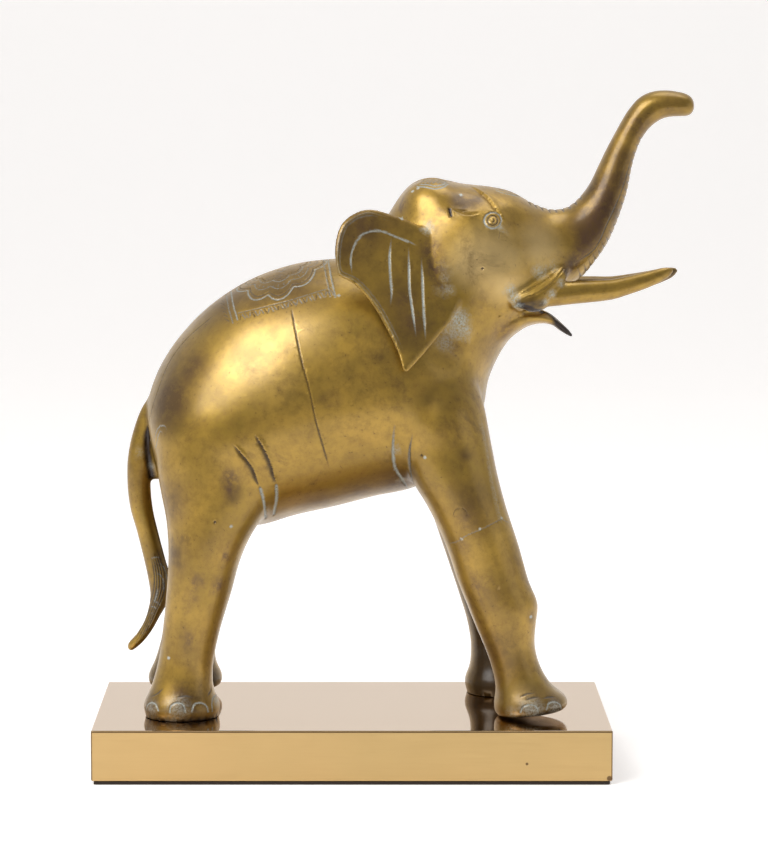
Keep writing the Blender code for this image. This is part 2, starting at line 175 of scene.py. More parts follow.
# %% Draw out a limb from a circle
def extruded_ring(bm, edges, angles):
    """Extrude a ring of edges and return the new edges, and the new vertices with their angles."""
    made = bmesh.ops.extrude_edge_only(bm, edges=edges)["geom"]
    fresh = {part for part in made if isinstance(part, bmesh.types.BMVert)}
    grown = {}
    for vert in fresh:
        parent = next(edge.other_vert(vert) for edge in vert.link_edges if edge.other_vert(vert) in angles)
        grown[vert] = angles[parent]
    rim = [part for part in made if isinstance(part, bmesh.types.BMEdge)
           and part.verts[0] in fresh and part.verts[1] in fresh]
    return rim, grown


def draw_out(bm, ring_at, count, around):
    """Extrude a circle through count rings, with ring_at(index, angle) giving each vertex its point."""
    circle = bmesh.ops.create_circle(bm, cap_ends=True, segments=around, radius=1.0)["verts"]
    angles = {vert: math.atan2(vert.co.x, vert.co.y) for vert in circle}
    edges = list({edge for vert in circle for edge in vert.link_edges})
    everything = set(circle)
    for index in range(count):
        if index:
            edges, angles = extruded_ring(bm, edges, angles)
        for vert, angle in angles.items():
            vert.co = ring_at(index, angle)
        everything.update(angles)
    bmesh.ops.contextual_create(bm, geom=edges)
    faces = list({face for vert in everything for face in vert.link_faces})
    bmesh.ops.recalc_face_normals(bm, faces=faces)


def limb(bm, sections, side=FAR, around=40, step=1.2):
    """Draw a limb out through its sections."""
    rows = section_rows(sections, step)
    draw_out(bm, lambda index, angle: oval_point(rows[index], side, angle), len(rows), around)


# %% [markdown]
# These are the sections of the trunk of the body, of the neck, head and trunk in one sweep, and of the
# lower jaw with its pointed lip. Point a is on the upper outline and point b on the lower one.

# %% Sections of the body, the head and the jaw
TORSO = (
    Section((-33.2, 47.8), (-32.6, 44.0), 3.0),
    Section((-32.9, 50.4), (-31.6, 39.6), 7.2, 0.05),
    Section((-31.0, 55.4), (-29.4, 35.0), 11.8, 0.10),
    Section((-28.0, 60.0), (-25.6, 31.4), 14.6, 0.12),
    Section((-22.8, 65.3), (-20.0, 29.4), 16.6, 0.12),
    Section((-16.4, 69.4), (-14.4, 29.6), 17.5, 0.10),
    Section((-9.7, 71.8), (-9.0, 31.2), 17.7, 0.08),
    Section((-3.5, 72.7), (-2.6, 32.6), 17.3, 0.06),
    Section((2.6, 72.9), (3.6, 34.2), 16.6, 0.05),
    Section((8.6, 72.0), (10.0, 35.6), 15.6, 0.04),
    Section((14.0, 69.0), (15.6, 38.6), 13.6, 0.0),
    Section((18.6, 64.0), (19.6, 42.8), 10.0, 0.0),
    Section((21.0, 57.5), (21.2, 48.0), 5.0, 0.0),
)
HEAD = (
    Section((-3.0, 66.0), (12.0, 43.0), 11.0),
    Section((1.6, 73.4), (21.0, 47.6), 13.2, 0.06),
    Section((4.4, 77.2), (22.2, 53.4), 12.4, 0.06),
    Section((6.5, 81.0), (24.2, 57.8), 11.6, 0.05),
    Section((9.4, 84.6), (26.4, 60.8), 11.2, 0.04, 2.1),
    Section((13.4, 85.8), (28.0, 62.8), 11.2, 0.04, 2.2),
    Section((17.6, 84.9), (29.2, 64.6), 10.9, 0.04, 2.2),
    Section((21.6, 84.5), (30.2, 66.0), 10.0, 0.06, 2.2),
    Section((25.5, 83.7), (32.0, 67.0), 8.6, 0.10, 2.2),
    Section((29.0, 81.8), (34.4, 68.2), 7.0, 0.12, 2.2),
    Section((32.0, 80.7), (36.9, 69.6), 5.8, 0.12, 2.2),
    Section((34.6, 81.0), (39.0, 72.0), 5.0, 0.12, 2.3),
    Section((36.8, 82.8), (41.3, 75.4), 4.4, 0.12, 2.3),
    Section((38.2, 84.7), (43.0, 79.4), 4.0, 0.12, 2.3),
    Section((39.5, 87.4), (44.3, 83.4), 3.5, 0.12, 2.3),
    Section((41.0, 90.6), (45.2, 88.0), 2.95, 0.10, 2.3),
    Section((42.7, 93.8), (46.2, 91.1), 2.7, 0.08, 2.2),
    Section((44.5, 96.9), (47.2, 92.9), 2.6, 0.05, 2.1),
    Section((46.6, 99.1), (48.5, 94.3), 2.55),
    Section((49.4, 99.92), (50.4, 95.4), 2.5),
    Section((52.4, 99.7), (52.5, 95.6), 2.5),
    Section((54.4, 99.1), (54.5, 95.7), 2.3),
    Section((55.1, 98.3), (55.1, 96.4), 1.4),
)
LOWER_JAW = (
    Section((17.0, 66.0), (18.0, 57.0), 6.0),
    Section((23.0, 66.0), (23.6, 58.2), 7.2, 0.0),
    Section((26.2, 65.4), (26.6, 60.7), 6.6, 0.0),
    Section((28.6, 65.2), (28.6, 61.9), 5.4, 0.0),
    Section((30.4, 64.6), (30.8, 62.3), 4.2, 0.0),
    Section((32.2, 63.8), (32.4, 62.0), 2.8, 0.0),
    Section((34.1, 62.2), (33.5, 61.2), 1.6, 0.0),
    Section((35.3, 61.0), (34.8, 60.4), 0.9, 0.0),
    Section((35.8, 60.3), (35.6, 60.0), 0.3, 0.0),
)
print("sections of the body, the head and the jaw:", len(TORSO), len(HEAD), len(LOWER_JAW))

# %% [markdown]
# The legs stride: both fore legs reach forward, and the near one rests on its heel with the toes raised.
# On a leg, point a is on the front outline and point b on the rear one.

# %% Sections of the legs and the tail
HIND_LEG = (
    Section((-11.0, 47.0), (-30.0, 48.0), 9.2, out=6.6),
    Section((-10.6, 41.0), (-31.4, 42.0), 8.9, out=7.6),
    Section((-11.6, 36.4), (-30.8, 36.6), 8.1, out=8.6),
    Section((-13.6, 32.8), (-29.9, 32.4), 7.2, out=9.4),
    Section((-16.0, 29.2), (-29.5, 29.0), 6.6, out=9.9),
    Section((-17.5, 26.0), (-29.4, 26.0), 6.1, out=10.2),
    Section((-19.3, 19.8), (-29.8, 19.5), 5.3, out=10.4),
    Section((-21.3, 13.0), (-30.5, 13.0), 4.7, out=10.4),
    Section((-22.3, 7.2), (-31.5, 7.2), 4.7, out=10.4),
    Section((-22.1, 4.0), (-32.5, 4.0), 5.3, square=2.2, out=10.4),
    Section((-21.0, 1.4), (-33.6, 1.4), 6.3, square=2.2, out=10.4),
    Section((-21.5, 0.0), (-33.1, 0.0), 5.9, square=2.2, out=10.4),
)
NEAR_FORE_LEG = (
    Section((17.6, 58.0), (3.0, 55.0), 5.6, out=7.4),
    Section((20.9, 51.0), (6.0, 48.0), 6.6, out=8.4),
    Section((22.2, 44.6), (8.2, 42.4), 6.7, out=9.2),
    Section((23.3, 39.0), (9.6, 37.8), 6.3, out=9.7),
    Section((24.6, 34.1), (11.9, 34.1), 5.9, out=10.0),
    Section((26.7, 27.7), (14.9, 27.7), 5.4, out=10.3),
    Section((28.6, 21.2), (17.1, 21.2), 5.1, out=10.5),
    Section((29.9, 18.0), (18.4, 18.0), 5.1, out=10.6),
    Section((29.6, 15.2), (19.5, 15.2), 4.9, out=10.6),
    Section((29.4, 11.5), (21.1, 11.5), 4.5, out=10.7),
    Section((30.2, 8.2), (22.4, 7.9), 4.5, out=10.7),
    Section((31.9, 5.2), (23.1, 4.6), 5.0, square=2.2, out=10.7),
    Section((34.9, 2.2), (22.8, 1.2), 6.3, square=2.2, out=10.7),
    Section((34.4, 1.2), (23.1, 0.0), 5.9, square=2.2, out=10.7),
)
FAR_FORE_LEG = (
    Section((17.4, 58.0), (3.0, 55.0), 5.6, out=7.4),
    Section((20.6, 51.0), (6.0, 48.0), 6.6, out=8.4),
    Section((21.7, 44.6), (8.2, 42.4), 6.7, out=9.2),
    Section((22.3, 39.0), (9.8, 37.8), 6.3, out=9.7),
    Section((23.0, 34.1), (11.8, 34.1), 5.9, out=10.0),
    Section((24.2, 27.7), (14.0, 27.7), 5.4, out=10.3),
    Section((25.6, 21.2), (16.2, 21.2), 5.0, out=10.5),
    Section((26.6, 16.3), (17.8, 16.3), 4.8, out=10.6),
    Section((27.0, 12.0), (19.1, 12.0), 4.5, out=10.7),
    Section((27.6, 7.4), (19.8, 7.4), 4.5, out=10.7),
    Section((28.8, 4.4), (19.6, 4.4), 5.1, square=2.2, out=10.7),
    Section((31.0, 1.4), (18.7, 1.4), 6.3, square=2.2, out=10.7),
    Section((30.5, 0.0), (19.2, 0.0), 5.9, square=2.2, out=10.7),
)
TAIL = (
    Section((-30.6, 52.0), (-29.4, 44.0), 1.6),
    Section((-33.4, 49.6), (-30.2, 41.8), 1.9),
    Section((-35.3, 45.4), (-31.4, 39.4), 2.0),
    Section((-36.4, 40.4), (-32.5, 37.8), 2.0),
    Section((-36.5, 36.2), (-32.7, 35.8), 1.9),
    Section((-36.1, 32.4), (-32.4, 32.2), 1.8),
    Section((-35.0, 28.3), (-31.4, 27.7), 1.7),
    Section((-34.0, 24.2), (-30.3, 23.4), 1.7),
    Section((-33.2, 20.4), (-29.5, 20.2), 1.8),
    Section((-32.9, 17.4), (-30.0, 16.8), 1.7),
    Section((-33.6, 14.2), (-31.3, 14.4), 1.4),
    Section((-35.0, 11.6), (-32.9, 11.6), 1.2),
    Section((-36.6, 9.7), (-34.8, 9.4), 0.9),
    Section((-36.7, 9.0), (-36.0, 8.5), 0.4),
)
TAIL_WEB = (
    Section((-33.6, 50.0), (-29.0, 48.0), 1.3),
    Section((-34.8, 44.0), (-29.0, 42.0), 1.5),
    Section((-34.0, 38.0), (-29.0, 38.2), 1.3),
    Section((-33.0, 36.6), (-29.6, 37.0), 0.8),
)
FAR_HIND_LIFT = 0.9          # this foot hangs just clear of the stand
FAR_HIND_SETBACK = 0.4       # and it stands this far behind the near one
SOLE_RUN_OUT = 2.4           # legs run this far below the soles before they are cut flat


def leg(bm, sections, side, shift=0.0, lift=0.0):
    """Draw out a leg, and run it on below its sole so that the sole can be cut flat."""
    sections = [s._replace(a=(s.a[0] + shift, s.a[1] + lift), b=(s.b[0] + shift, s.b[1] + lift))
                for s in sections]
    sole = sections[-1]
    if not lift and sole.a[1] == sole.b[1]:
        sections.append(sole._replace(a=(sole.a[0], -SOLE_RUN_OUT), b=(sole.b[0], -SOLE_RUN_OUT)))
    limb(bm, sections, side)


print("sections of a hind leg and of the fore legs:", len(HIND_LEG), len(NEAR_FORE_LEG), len(FAR_FORE_LEG))

# %% [markdown]
# A tusk is a round rod that thins to its point, so its sections are circles square to its own line. Each
# one comes out of a fleshy sheath beside the mouth.

# %% Tusks and their sheaths
TUSK = (                     # the middle of each circle as (x, z), its radius, and how far it stands out
    ((28.0, 67.0), 1.70, 7.4),
    ((31.6, 67.4), 1.85, 7.2),
    ((35.9, 67.8), 1.85, 6.7),
    ((39.1, 68.0), 1.78, 6.2),
    ((41.6, 68.2), 1.65, 5.8),
    ((44.1, 68.8), 1.50, 5.3),
    ((46.7, 69.5), 1.35, 4.8),
    ((49.1, 70.3), 1.12, 4.4),
    ((50.9, 71.0), 0.72, 4.1),
    ((51.5, 71.3), 0.30, 4.0),
)
FAR_TUSK_STRETCH = 1.06      # the far tusk is a little longer than the near one
FAR_TUSK_DROP = 0.6
TUSK_FLATNESS = 0.92
TUSK_STEP, TUSK_AROUND = 0.8, 28
TUSK_SHEATH = (
    Section((24.6, 67.6), (25.8, 65.2), 1.6, out=8.6),
    Section((27.8, 69.0), (28.2, 64.6), 2.2, out=8.2),
    Section((30.8, 70.6), (30.6, 64.9), 2.4, out=7.4),
    Section((33.2, 71.6), (31.8, 66.0), 2.2, out=6.8),
    Section((34.8, 71.8), (33.6, 68.4), 1.4, out=6.2),
)


def tusk(bm, side):
    """Draw out one tusk from its root in the sheath to its point."""
    stretch = FAR_TUSK_STRETCH if side == FAR else 1.0
    drop = FAR_TUSK_DROP if side == FAR else 0.0
    root_x = TUSK[0][0][0]
    tip_x = TUSK[-1][0][0]
    rows = [(root_x + (x - root_x) * stretch, z - drop * (x - root_x) / (tip_x - root_x), radius, out)
            for (x, z), radius, out in TUSK]
    rows = smooth_rows(rows, TUSK_STEP)
    ovals = []
    for before, (x, z, radius, out), after in zip(rows[:1] + rows, rows, rows[1:] + rows[-1:]):
        run = Vector((after[0] - before[0], after[1] - before[1])).normalized()
        up = Vector((-run.y, run.x)) * radius
        ovals.append((x + up.x, z + up.y, x - up.x, z - up.y, radius * TUSK_FLATNESS, 0, 2, out))
    draw_out(bm, lambda index, angle: oval_point(ovals[index], side, angle), len(ovals), TUSK_AROUND)


# %% [markdown]
# An ear is a thin dished plate. Its outline in the side view is a closed curve, and a formula says how far
# the plate stands off the middle plane at each point: it sweeps back from the head, leans out downwards,
# and curls a little at the rim.

# %% Ears
EAR_OUTLINE = (
    (-2.2, 71.1), (-2.7, 75.4), (-1.4, 79.4), (2.2, 81.3), (6.4, 80.4), (10.4, 78.8),
    (13.6, 76.6), (16.2, 72.4), (17.6, 67.4), (16.5, 64.8), (13.3, 60.9), (10.8, 58.1),
    (8.4, 56.0), (7.4, 58.6), (5.4, 62.8), (2.6, 67.3), (0.2, 69.8),
)
RIM_SPACING = 0.7
EAR_HEART = (5.0, 70.0)      # the hollow of the ear, which its rings close in on
EAR_STAND_OFF = 13.2
EAR_SWEEP = -0.30
EAR_LEAN = -0.31
EAR_DISH = 0.005
FAR_EAR_DROP = 3.3           # the far ear is set a little lower than the near one
EAR_THICKNESS = 3.2 * MM
EAR_SKIN = (                 # size and depth of each ring of the face, from the heart to the rim
    (0.06, 1.0), (0.2, 1.0), (0.4, 1.0), (0.6, 1.0), (0.8, 1.0), (0.93, 0.95), (0.98, 0.7), (1.0, 0.2),
)


def ear_stand_off(x, z):
    """Return how far the middle of the ear's plate stands from the figure's middle plane."""
    dx, dz = x - EAR_HEART[0], z - EAR_HEART[1]
    return EAR_STAND_OFF + EAR_SWEEP * dx + EAR_LEAN * dz + EAR_DISH * (dx * dx + dz * dz)


def ear_point(x, z, side, size=1.0, depth=1.0):
    """Return a point of the ear: size shrinks it towards its heart, and depth runs through its wall."""
    x = EAR_HEART[0] + (x - EAR_HEART[0]) * size
    z = EAR_HEART[1] + (z - EAR_HEART[1]) * size
    stand_off = ear_stand_off(x, z) + EAR_THICKNESS / SHARE / 2 * depth
    return place(x, side * stand_off, z - (FAR_EAR_DROP if side == FAR else 0.0))


def ear(bm, side):
    """Draw the ear's skin out from the middle of its face, round the rim to the middle of its back."""
    outline = smooth_rows(EAR_OUTLINE + EAR_OUTLINE[:1], RIM_SPACING)[:-1]
    skin = EAR_SKIN + tuple((size, -depth) for size, depth in EAR_SKIN[::-1])

    def ring_at(index, angle):
        size, depth = skin[index]
        x, z = outline[round(angle / math.tau * len(outline)) % len(outline)]
        return ear_point(x, z, side, size, depth)

    draw_out(bm, ring_at, len(skin), len(outline))


# %% [markdown]
# Separate forms become one casting in the fuse step. A voxel remesh melts every overlapping shell into one
# closed skin, and smoothing rounds the joins as a thumb rounds wax. The body is fused first and smoothed a
# lot, and the wide joins at the hips, the shoulders and the neck are then blended further. The thin ears,
# tusks, jaw and tail go on afterwards with hardly any smoothing, so they stay crisp.

# %% Fuse shells into one skin
SOFTEN_FACTOR = 0.5          # how far each smoothing pass moves a vertex towards its neighbours' middle
JOIN_PASSES = 120
JOIN_LEVELS = 10             # the joins' weights are rounded to this many steps
FADE = 1.3                   # a patch fades to nothing at this many times its reach
JOINS = (                    # the middle (x, y, z) of each wide join and its reach, in hundredths
    ((-20.0, 14.0, 40.0), 13.0),
    ((12.0, 13.0, 46.0), 9.0),
    ((4.0, 11.0, 62.0), 8.0),
)


def new_piece(name, bm):
    """Wrap a bmesh in an object of its own."""
    mesh = bpy.data.meshes.new(name)
    bm.to_mesh(mesh)
    bm.free()
    piece = bpy.data.objects.new(name, mesh)
    bpy.context.scene.collection.objects.link(piece)
    return piece


def apply_modifiers(piece):
    """Replace a piece's mesh by what its modifiers make of it."""
    bpy.context.view_layer.update()
    depsgraph = bpy.context.evaluated_depsgraph_get()
    mesh = bpy.data.meshes.new_from_object(piece.evaluated_get(depsgraph))
    piece.modifiers.clear()
    piece.data = mesh


def fuse(piece, voxel, passes):
    """Melt a piece's shells into one skin, and smooth it over."""
    remesh = piece.modifiers.new("fuse", "REMESH")
    remesh.mode = "VOXEL"
    remesh.voxel_size = voxel
    soften = piece.modifiers.new("soften", "SMOOTH")
    soften.factor = SOFTEN_FACTOR
    soften.iterations = passes
    apply_modifiers(piece)
    print("fused:", len(piece.data.vertices), "vertices")


def vertex_array(mesh, field):
    """Return the places or the normals of a mesh's vertices as an array."""
    values = np.empty(len(mesh.vertices) * 3, np.float32)
    mesh.vertices.foreach_get(field, values)
    return values.reshape(-1, 3)


def faded(share):
    """Return how strong a patch is at a distance from its middle, given as a share of its reach."""
    return np.clip(FADE - share, 0, 1)


def blend_joins(piece):
    """Smooth the wide joins of the legs and the neck further, and leave the rest as it is."""
    places = vertex_array(piece.data, "co")
    weights = np.zeros(len(places))
    for (x, y, z), reach in JOINS:
        for side in (NEAR, FAR):
            share = np.linalg.norm(places - np.array(place(x, side * y, z)), axis=1) / (reach * SHARE)
            weights = np.maximum(weights, faded(share))
    group = piece.vertex_groups.new(name="joins")
    for level in range(1, JOIN_LEVELS + 1):
        members = np.flatnonzero(np.round(weights * JOIN_LEVELS) == level)
        group.add(members.tolist(), level / JOIN_LEVELS, "REPLACE")
    soften = piece.modifiers.new("blend_joins", "SMOOTH")
    soften.factor = SOFTEN_FACTOR
    soften.iterations = JOIN_PASSES
    soften.vertex_group = group.name
    apply_modifiers(piece)
    piece.vertex_groups.clear()


BODY_VOXEL = 1.0 * MM
BODY_SMOOTHING = 36

wax = bmesh.new()
limb(wax, TORSO, around=64)
limb(wax, HEAD, around=56)
limb(wax, TAIL_WEB)
leg(wax, HIND_LEG, NEAR)
leg(wax, HIND_LEG, FAR, -FAR_HIND_SETBACK, FAR_HIND_LIFT)
leg(wax, NEAR_FORE_LEG, NEAR)
leg(wax, FAR_FORE_LEG, FAR)
for side in (NEAR, FAR):
    limb(wax, TUSK_SHEATH, side)
casting = new_piece("elephant_casting", wax)
fuse(casting, BODY_VOXEL, BODY_SMOOTHING)
blend_joins(casting)

# %% [markdown]
# Bulges and hollows are pressed into the wax next: the twin domes of the crown, the temples, the eyeballs,
# the shoulders. Each one moves the skin along its own normal, most at its centre and nothing at its edge.
# NumPy moves the whole skin at once, which a loop over every vertex would do far more slowly.

# %% Press bulges and hollows
SWELLS = (
    ((11.4, 5.4, 83.6), 5.6, 0.9),      # twin domes of the crown
    ((13.4, 0.0, 86.2), 3.0, -0.9),     # furrow between the domes
    ((17.4, 9.4, 83.0), 4.0, -0.45),    # temple
    ((26.5, 8.4, 79.0), 4.2, -0.5),     # hollow before the eye
    ((22.7, 10.2, 79.4), 1.9, 0.55),    # eyeball
    ((20.0, 11.0, 71.5), 7.0, 0.4),     # cheek
    ((15.0, 14.2, 49.0), 6.5, 0.9),     # point of the shoulder
    ((14.6, 11.6, 59.6), 5.0, -0.7),    # fold between neck and shoulder
    ((-22.0, 15.0, 45.0), 9.0, 0.5),    # haunch
)


def press(mesh, swells):
    """Move the skin along its normals, inside a small ball round each swell's centre, on both sides."""
    places = vertex_array(mesh, "co")
    normals = vertex_array(mesh, "normal")
    for (x, y, z), reach, height in swells:
        for side in (NEAR, FAR) if y else (FAR,):
            centre = np.array(place(x, side * y, z), np.float32)
            share = np.linalg.norm(places - centre, axis=1) / (reach * SHARE)
            inside = share < 1
            push = height * SHARE * (1 - share[inside] ** 2) ** 2
            places[inside] += normals[inside] * push[:, None]
    mesh.vertices.foreach_set("co", places.ravel())
    mesh.update()


press(casting.data, SWELLS)

# %% [markdown]
# Now the thin parts go on, and the whole is fused again at a fine grain. The fine skin has far more faces
# than its smooth flanks need, so a Decimate modifier thins it out before the engraving starts.

# %% Add the thin parts and fuse again
FINE_VOXEL = 0.8 * MM
FINE_SMOOTHING = 3
SKIN_TRIANGLES = 56_000

wax = bmesh.new()
for side in (NEAR, FAR):
    ear(wax, side)
    tusk(wax, side)
limb(wax, TAIL, around=28, step=0.8)
limb(wax, LOWER_JAW, around=32, step=0.8)
wax.from_mesh(casting.data)
wax.to_mesh(casting.data)
wax.free()
fuse(casting, FINE_VOXEL, FINE_SMOOTHING)

thin = casting.modifiers.new("thin", "DECIMATE")
thin.ratio = SKIN_TRIANGLES / (2 * len(casting.data.polygons))
apply_modifiers(casting)

# %% [markdown]
# The soles are cut flat where they meet the stand. Bisect removes what is below the cut and leaves a hole
# under each foot, which a face then closes.

# %% Cut the soles
skin = bmesh.new()
skin.from_mesh(casting.data)
bmesh.ops.bisect_plane(skin, geom=skin.verts[:] + skin.edges[:] + skin.faces[:], dist=1e-6,
                       plane_co=(0, 0, SOLE), plane_no=(0, 0, 1), clear_inner=True)
bmesh.ops.holes_fill(skin, edges=[edge for edge in skin.edges if edge.is_boundary])
bmesh.ops.triangulate(skin, faces=[face for face in skin.faces if len(face.verts) > 3])
print("skin after the cut:", len(skin.faces), "triangles")

# %% [markdown]
# The engraving is a set of strokes. Each stroke is a line of points on the skin with a width, a depth and
# how much pale salt sits in it. Points are found three ways: through a pixel of the photograph, straight
# down onto the back, or on a section of the trunk. Strokes on the near side are mirrored to the far side,
# where the photograph shows nothing, and snapped to the skin there.

# %% Strokes on the skin
class Stroke(NamedTuple):
    """A cut or a raised line on the skin, with its sizes in metres."""
    points: list
    width: float
    depth: float
    salts: float = 0.0
    taper: float = 0.0       # share of its length over which each end thins out
    step: int = 0            # a fold: 1 or -1 is the side of the line whose skin stands proud


STROKE_STEP = 0.35 * MM
PIXEL_SPACING = 5            # pixels between the rays that look for the skin
SPOT_SPACING = 0.6           # hundredths between the spots looked for on the back
surface = BVHTree.FromBMesh(skin)


def through_pixel(pixel):
    """Return the point of the skin that the photograph shows at a pixel, or None past its edge."""
    return surface.ray_cast(CAMERA_PLACE, photo_ray(pixel))[0]


def down_on_back(spot):
    """Return the point of the back straight below a spot given as (x, y) in hundredths."""
    return surface.ray_cast(place(spot[0], spot[1], TRUNK_TOP), Vector((0, 0, -1)))[0]


def line_on_skin(marks, finder, spacing):
    """Return a smooth line on the skin through marks, found one by one, at a point every stroke step."""
    points = [finder(mark) for mark in smooth_rows(marks, spacing)]
    points = [point for point in points if point is not None]
    if len(points) < 2:
        return points
    return [Vector(row) for row in smooth_rows(points, STROKE_STEP)]


def mirrored(points, drop=0.0):
    """Return a line's mirror image on the far side, snapped to the skin there."""
    images = [Vector((p.x, 2 * MIDDLE - p.y, p.z - drop * SHARE)) for p in points]
    return [surface.find_nearest(image)[0] for image in images]


def cut(strokes, marks, width, depth, salts=0.0, taper=0.0, step=0, both=True, drop=0.0):
    """Add a stroke through pixels of the photograph, and its mirror image; sizes are in millimetres."""
    points = line_on_skin(marks, through_pixel, PIXEL_SPACING)
    strokes.append(Stroke(points, width * MM, depth * MM, salts, taper, step))
    if both:
        strokes.append(Stroke(mirrored(points, drop), width * MM, depth * MM, salts, taper, -step))


def cut_back(strokes, spots, width, depth, salts=0.0, taper=0.0):
    """Add a stroke through spots on the back, and its mirror image across the spine."""
    for side in (NEAR, FAR):
        points = line_on_skin([(x, side * y) for x, y in spots], down_on_back, SPOT_SPACING)
        strokes.append(Stroke(points, width * MM, depth * MM, salts, taper))


def ring_of_pixels(centre, across, up, start=0.0, turn=math.tau, count=12):
    """Return pixels on an ellipse, or on a part of it, round a centre pixel."""
    return [(centre[0] + across * math.cos(start + turn * k / count),
             centre[1] + up * math.sin(start + turn * k / count)) for k in range(count + 1)]


def moved(marks, by):
    """Return pixels moved by an (across, down) distance."""
    return [(x + by[0], y + by[1]) for x, y in marks]


# %% [markdown]
# Carving needs a finer skin than the smooth flanks have. Every edge that comes near a stroke is split in
# half until it is short enough, and the rest of the skin keeps its coarse faces. A search tree over the
# strokes' points then tells each vertex how far the nearest stroke is, and how deep to sink. A fold sinks on
# one side of its line and stands proud on the other.

# %% Refine the skin and carve the strokes
class Mark(NamedTuple):
    """One point of a stroke, with the sizes that the stroke has there."""
    width: float
    depth: float
    salts: float
    aside: Vector            # towards the proud side of a fold, or None


REFINE_MARGIN = 0.1 * MM
REFINE_ROUNDS = 4
EDGES_TO_WIDTH = 0.6         # a wide stroke does with longer edges
TIP_WIDTH = 0.4              # a tapered stroke's width at its very end, as a share of its width
PROUD_SHARE = 0.6            # how high a fold's proud side stands, as a share of its depth
LIP_REACH = 0.8              # how far a burr reaches outside a cut, in half widths
DARK_DEPTH = 0.3 * MM        # a cut this deep gets the darkest painted shade that a cut can have


def stroke_marks(strokes):
    """Return a search tree over every stroke's points, and the mark at each."""
    marks = []
    places = []
    for stroke in strokes:
        last = len(stroke.points) - 1
        for k, point in enumerate(stroke.points):
            ease = 1.0
            if stroke.taper and last:
                ease = min(1.0, k / last / stroke.taper, (1 - k / last) / stroke.taper)
            aside = None
            if stroke.step:
                run = stroke.points[min(k + 1, last)] - stroke.points[max(k - 1, 0)]
                aside = run.cross(surface.find_nearest(point)[1]) * stroke.step
            width = stroke.width * (TIP_WIDTH + (1 - TIP_WIDTH) * ease)
            marks.append(Mark(width, stroke.depth * ease, stroke.salts * ease, aside))
            places.append(point)
    tree = KDTree(len(places))
    for index, point in enumerate(places):
        tree.insert(point, index)
    tree.balance()
    return tree, marks


def refine(bm, tree, marks, finest):
    """Split the edges that come near a stroke and are longer than the finest edge, a few times over."""
    for _ in range(REFINE_ROUNDS):
        close = []
        for edge in bm.edges:
            length = edge.calc_length()
            if length < finest:
                continue
            _, index, gap = tree.find((edge.verts[0].co + edge.verts[1].co) / 2)
            mark = marks[index]
            reach = length / 2 + REFINE_MARGIN
            if length > mark.width * EDGES_TO_WIDTH and gap < reach + mark.width / 2:
                close.append(edge)
            elif mark.aside is not None and gap < reach + mark.width / 4:
                close.append(edge)
        if not close:
            return
        bmesh.ops.subdivide_edges(bm, edges=close, cuts=1)
        bmesh.ops.triangulate(bm, faces=[face for face in bm.faces if len(face.verts) > 3])


def carve(bm, strokes, finest, lip=0.0):
    """Sink the strokes into the skin, and return how deep each vertex lies in them and in their salts."""
    tree, marks = stroke_marks(strokes)
    refine(bm, tree, marks, finest)
    bm.normal_update()
    moves = []
    cuts = {}
    for vert in bm.verts:
        point, index, gap = tree.find(vert.co)
        mark = marks[index]
        share = gap / (mark.width / 2)
        if share >= 1 + LIP_REACH:
            continue
        proud = mark.aside is not None and (vert.co - point).dot(mark.aside) > 0
        if share < 1:
            sink = (1 - share * share) ** 2
            moves.append((vert, mark.depth * sink * (PROUD_SHARE if proud else -1.0)))
            # A cut's painted shade: darkest in its middle and in deep cuts; the proud side of a fold gets
            # none.
            dark = 0.0 if proud else (1 - share * share) * min(1.0, max(0.0, mark.depth) / DARK_DEPTH)
            cuts[vert] = (dark, mark.salts * (1 - share ** 3))
        elif mark.aside is None:
            moves.append((vert, lip * mark.depth * math.sin((share - 1) / LIP_REACH * math.pi)))
    for vert, move in moves:
        vert.co += vert.normal * move
    return cuts


# %% [markdown]
# The broad forms of the face come first, as wide soft strokes: the fold of the brow, which runs from the
# forehead past the eye and parts the eye from the root of the trunk, the hollow of the temple with a ledge
# under it, the mouth, and the folds of the sheath round the tusk. They are modelling, not engraving. Each
# cut is given its width and depth in millimetres, and a negative depth raises it.

# %% Model the face
MODELLED_EDGE = 0.8 * MM     # the finest edge that modelling needs
BROW = ((470.6, 186), (478, 190), (485, 195), (491, 201), (495.8, 207.5), (500, 213), (503.6, 218.5),
        (506, 224))
TEMPLE_HOLLOW = ((455, 204), (463, 208), (473, 207), (480, 202))
TEMPLE_LEDGE = ((452, 209.5), (457, 212.6), (464, 215), (472, 215.2), (480, 213))
MOUTH = ((511, 301), (520, 309.5), (532, 313.5), (546, 312))
JAW_FOLD = ((479, 305), (492, 309.5), (505, 311), (518, 315))
SHEATH_FOLDS = (
    ((519, 294.5), (534.8, 286), (546.3, 279), (558.5, 269)),
    ((522, 298.5), (539.4, 291.5), (553.2, 281), (568, 261.5)),
)
TUSK_COLLAR = ((568, 273), (559, 287), (550, 296.5), (544, 304.5))
CREVICE_BY_TAIL = ((148.5, 430), (147, 445), (148.5, 460), (151, 476))

modelling = []
cut(modelling, BROW, 6.0, 0.6, taper=0.25, step=-1)
cut(modelling, TEMPLE_HOLLOW, 8.0, 0.35, taper=0.4)
cut(modelling, TEMPLE_LEDGE, 5.0, 0.55, taper=0.3, step=1)
cut(modelling, MOUTH, 4.0, 1.3, taper=0.25)
cut(modelling, JAW_FOLD, 5.0, -0.35, taper=0.4)
for fold in SHEATH_FOLDS:
    cut(modelling, fold, 2.2, 0.5, taper=0.2, step=-1)
cut(modelling, TUSK_COLLAR, 2.4, -0.5, taper=0.2)
cut(modelling, CREVICE_BY_TAIL, 4.0, 1.6, taper=0.3)
carve(skin, modelling, MODELLED_EDGE)
surface = BVHTree.FromBMesh(skin)
print("modelled skin:", len(skin.faces), "triangles")

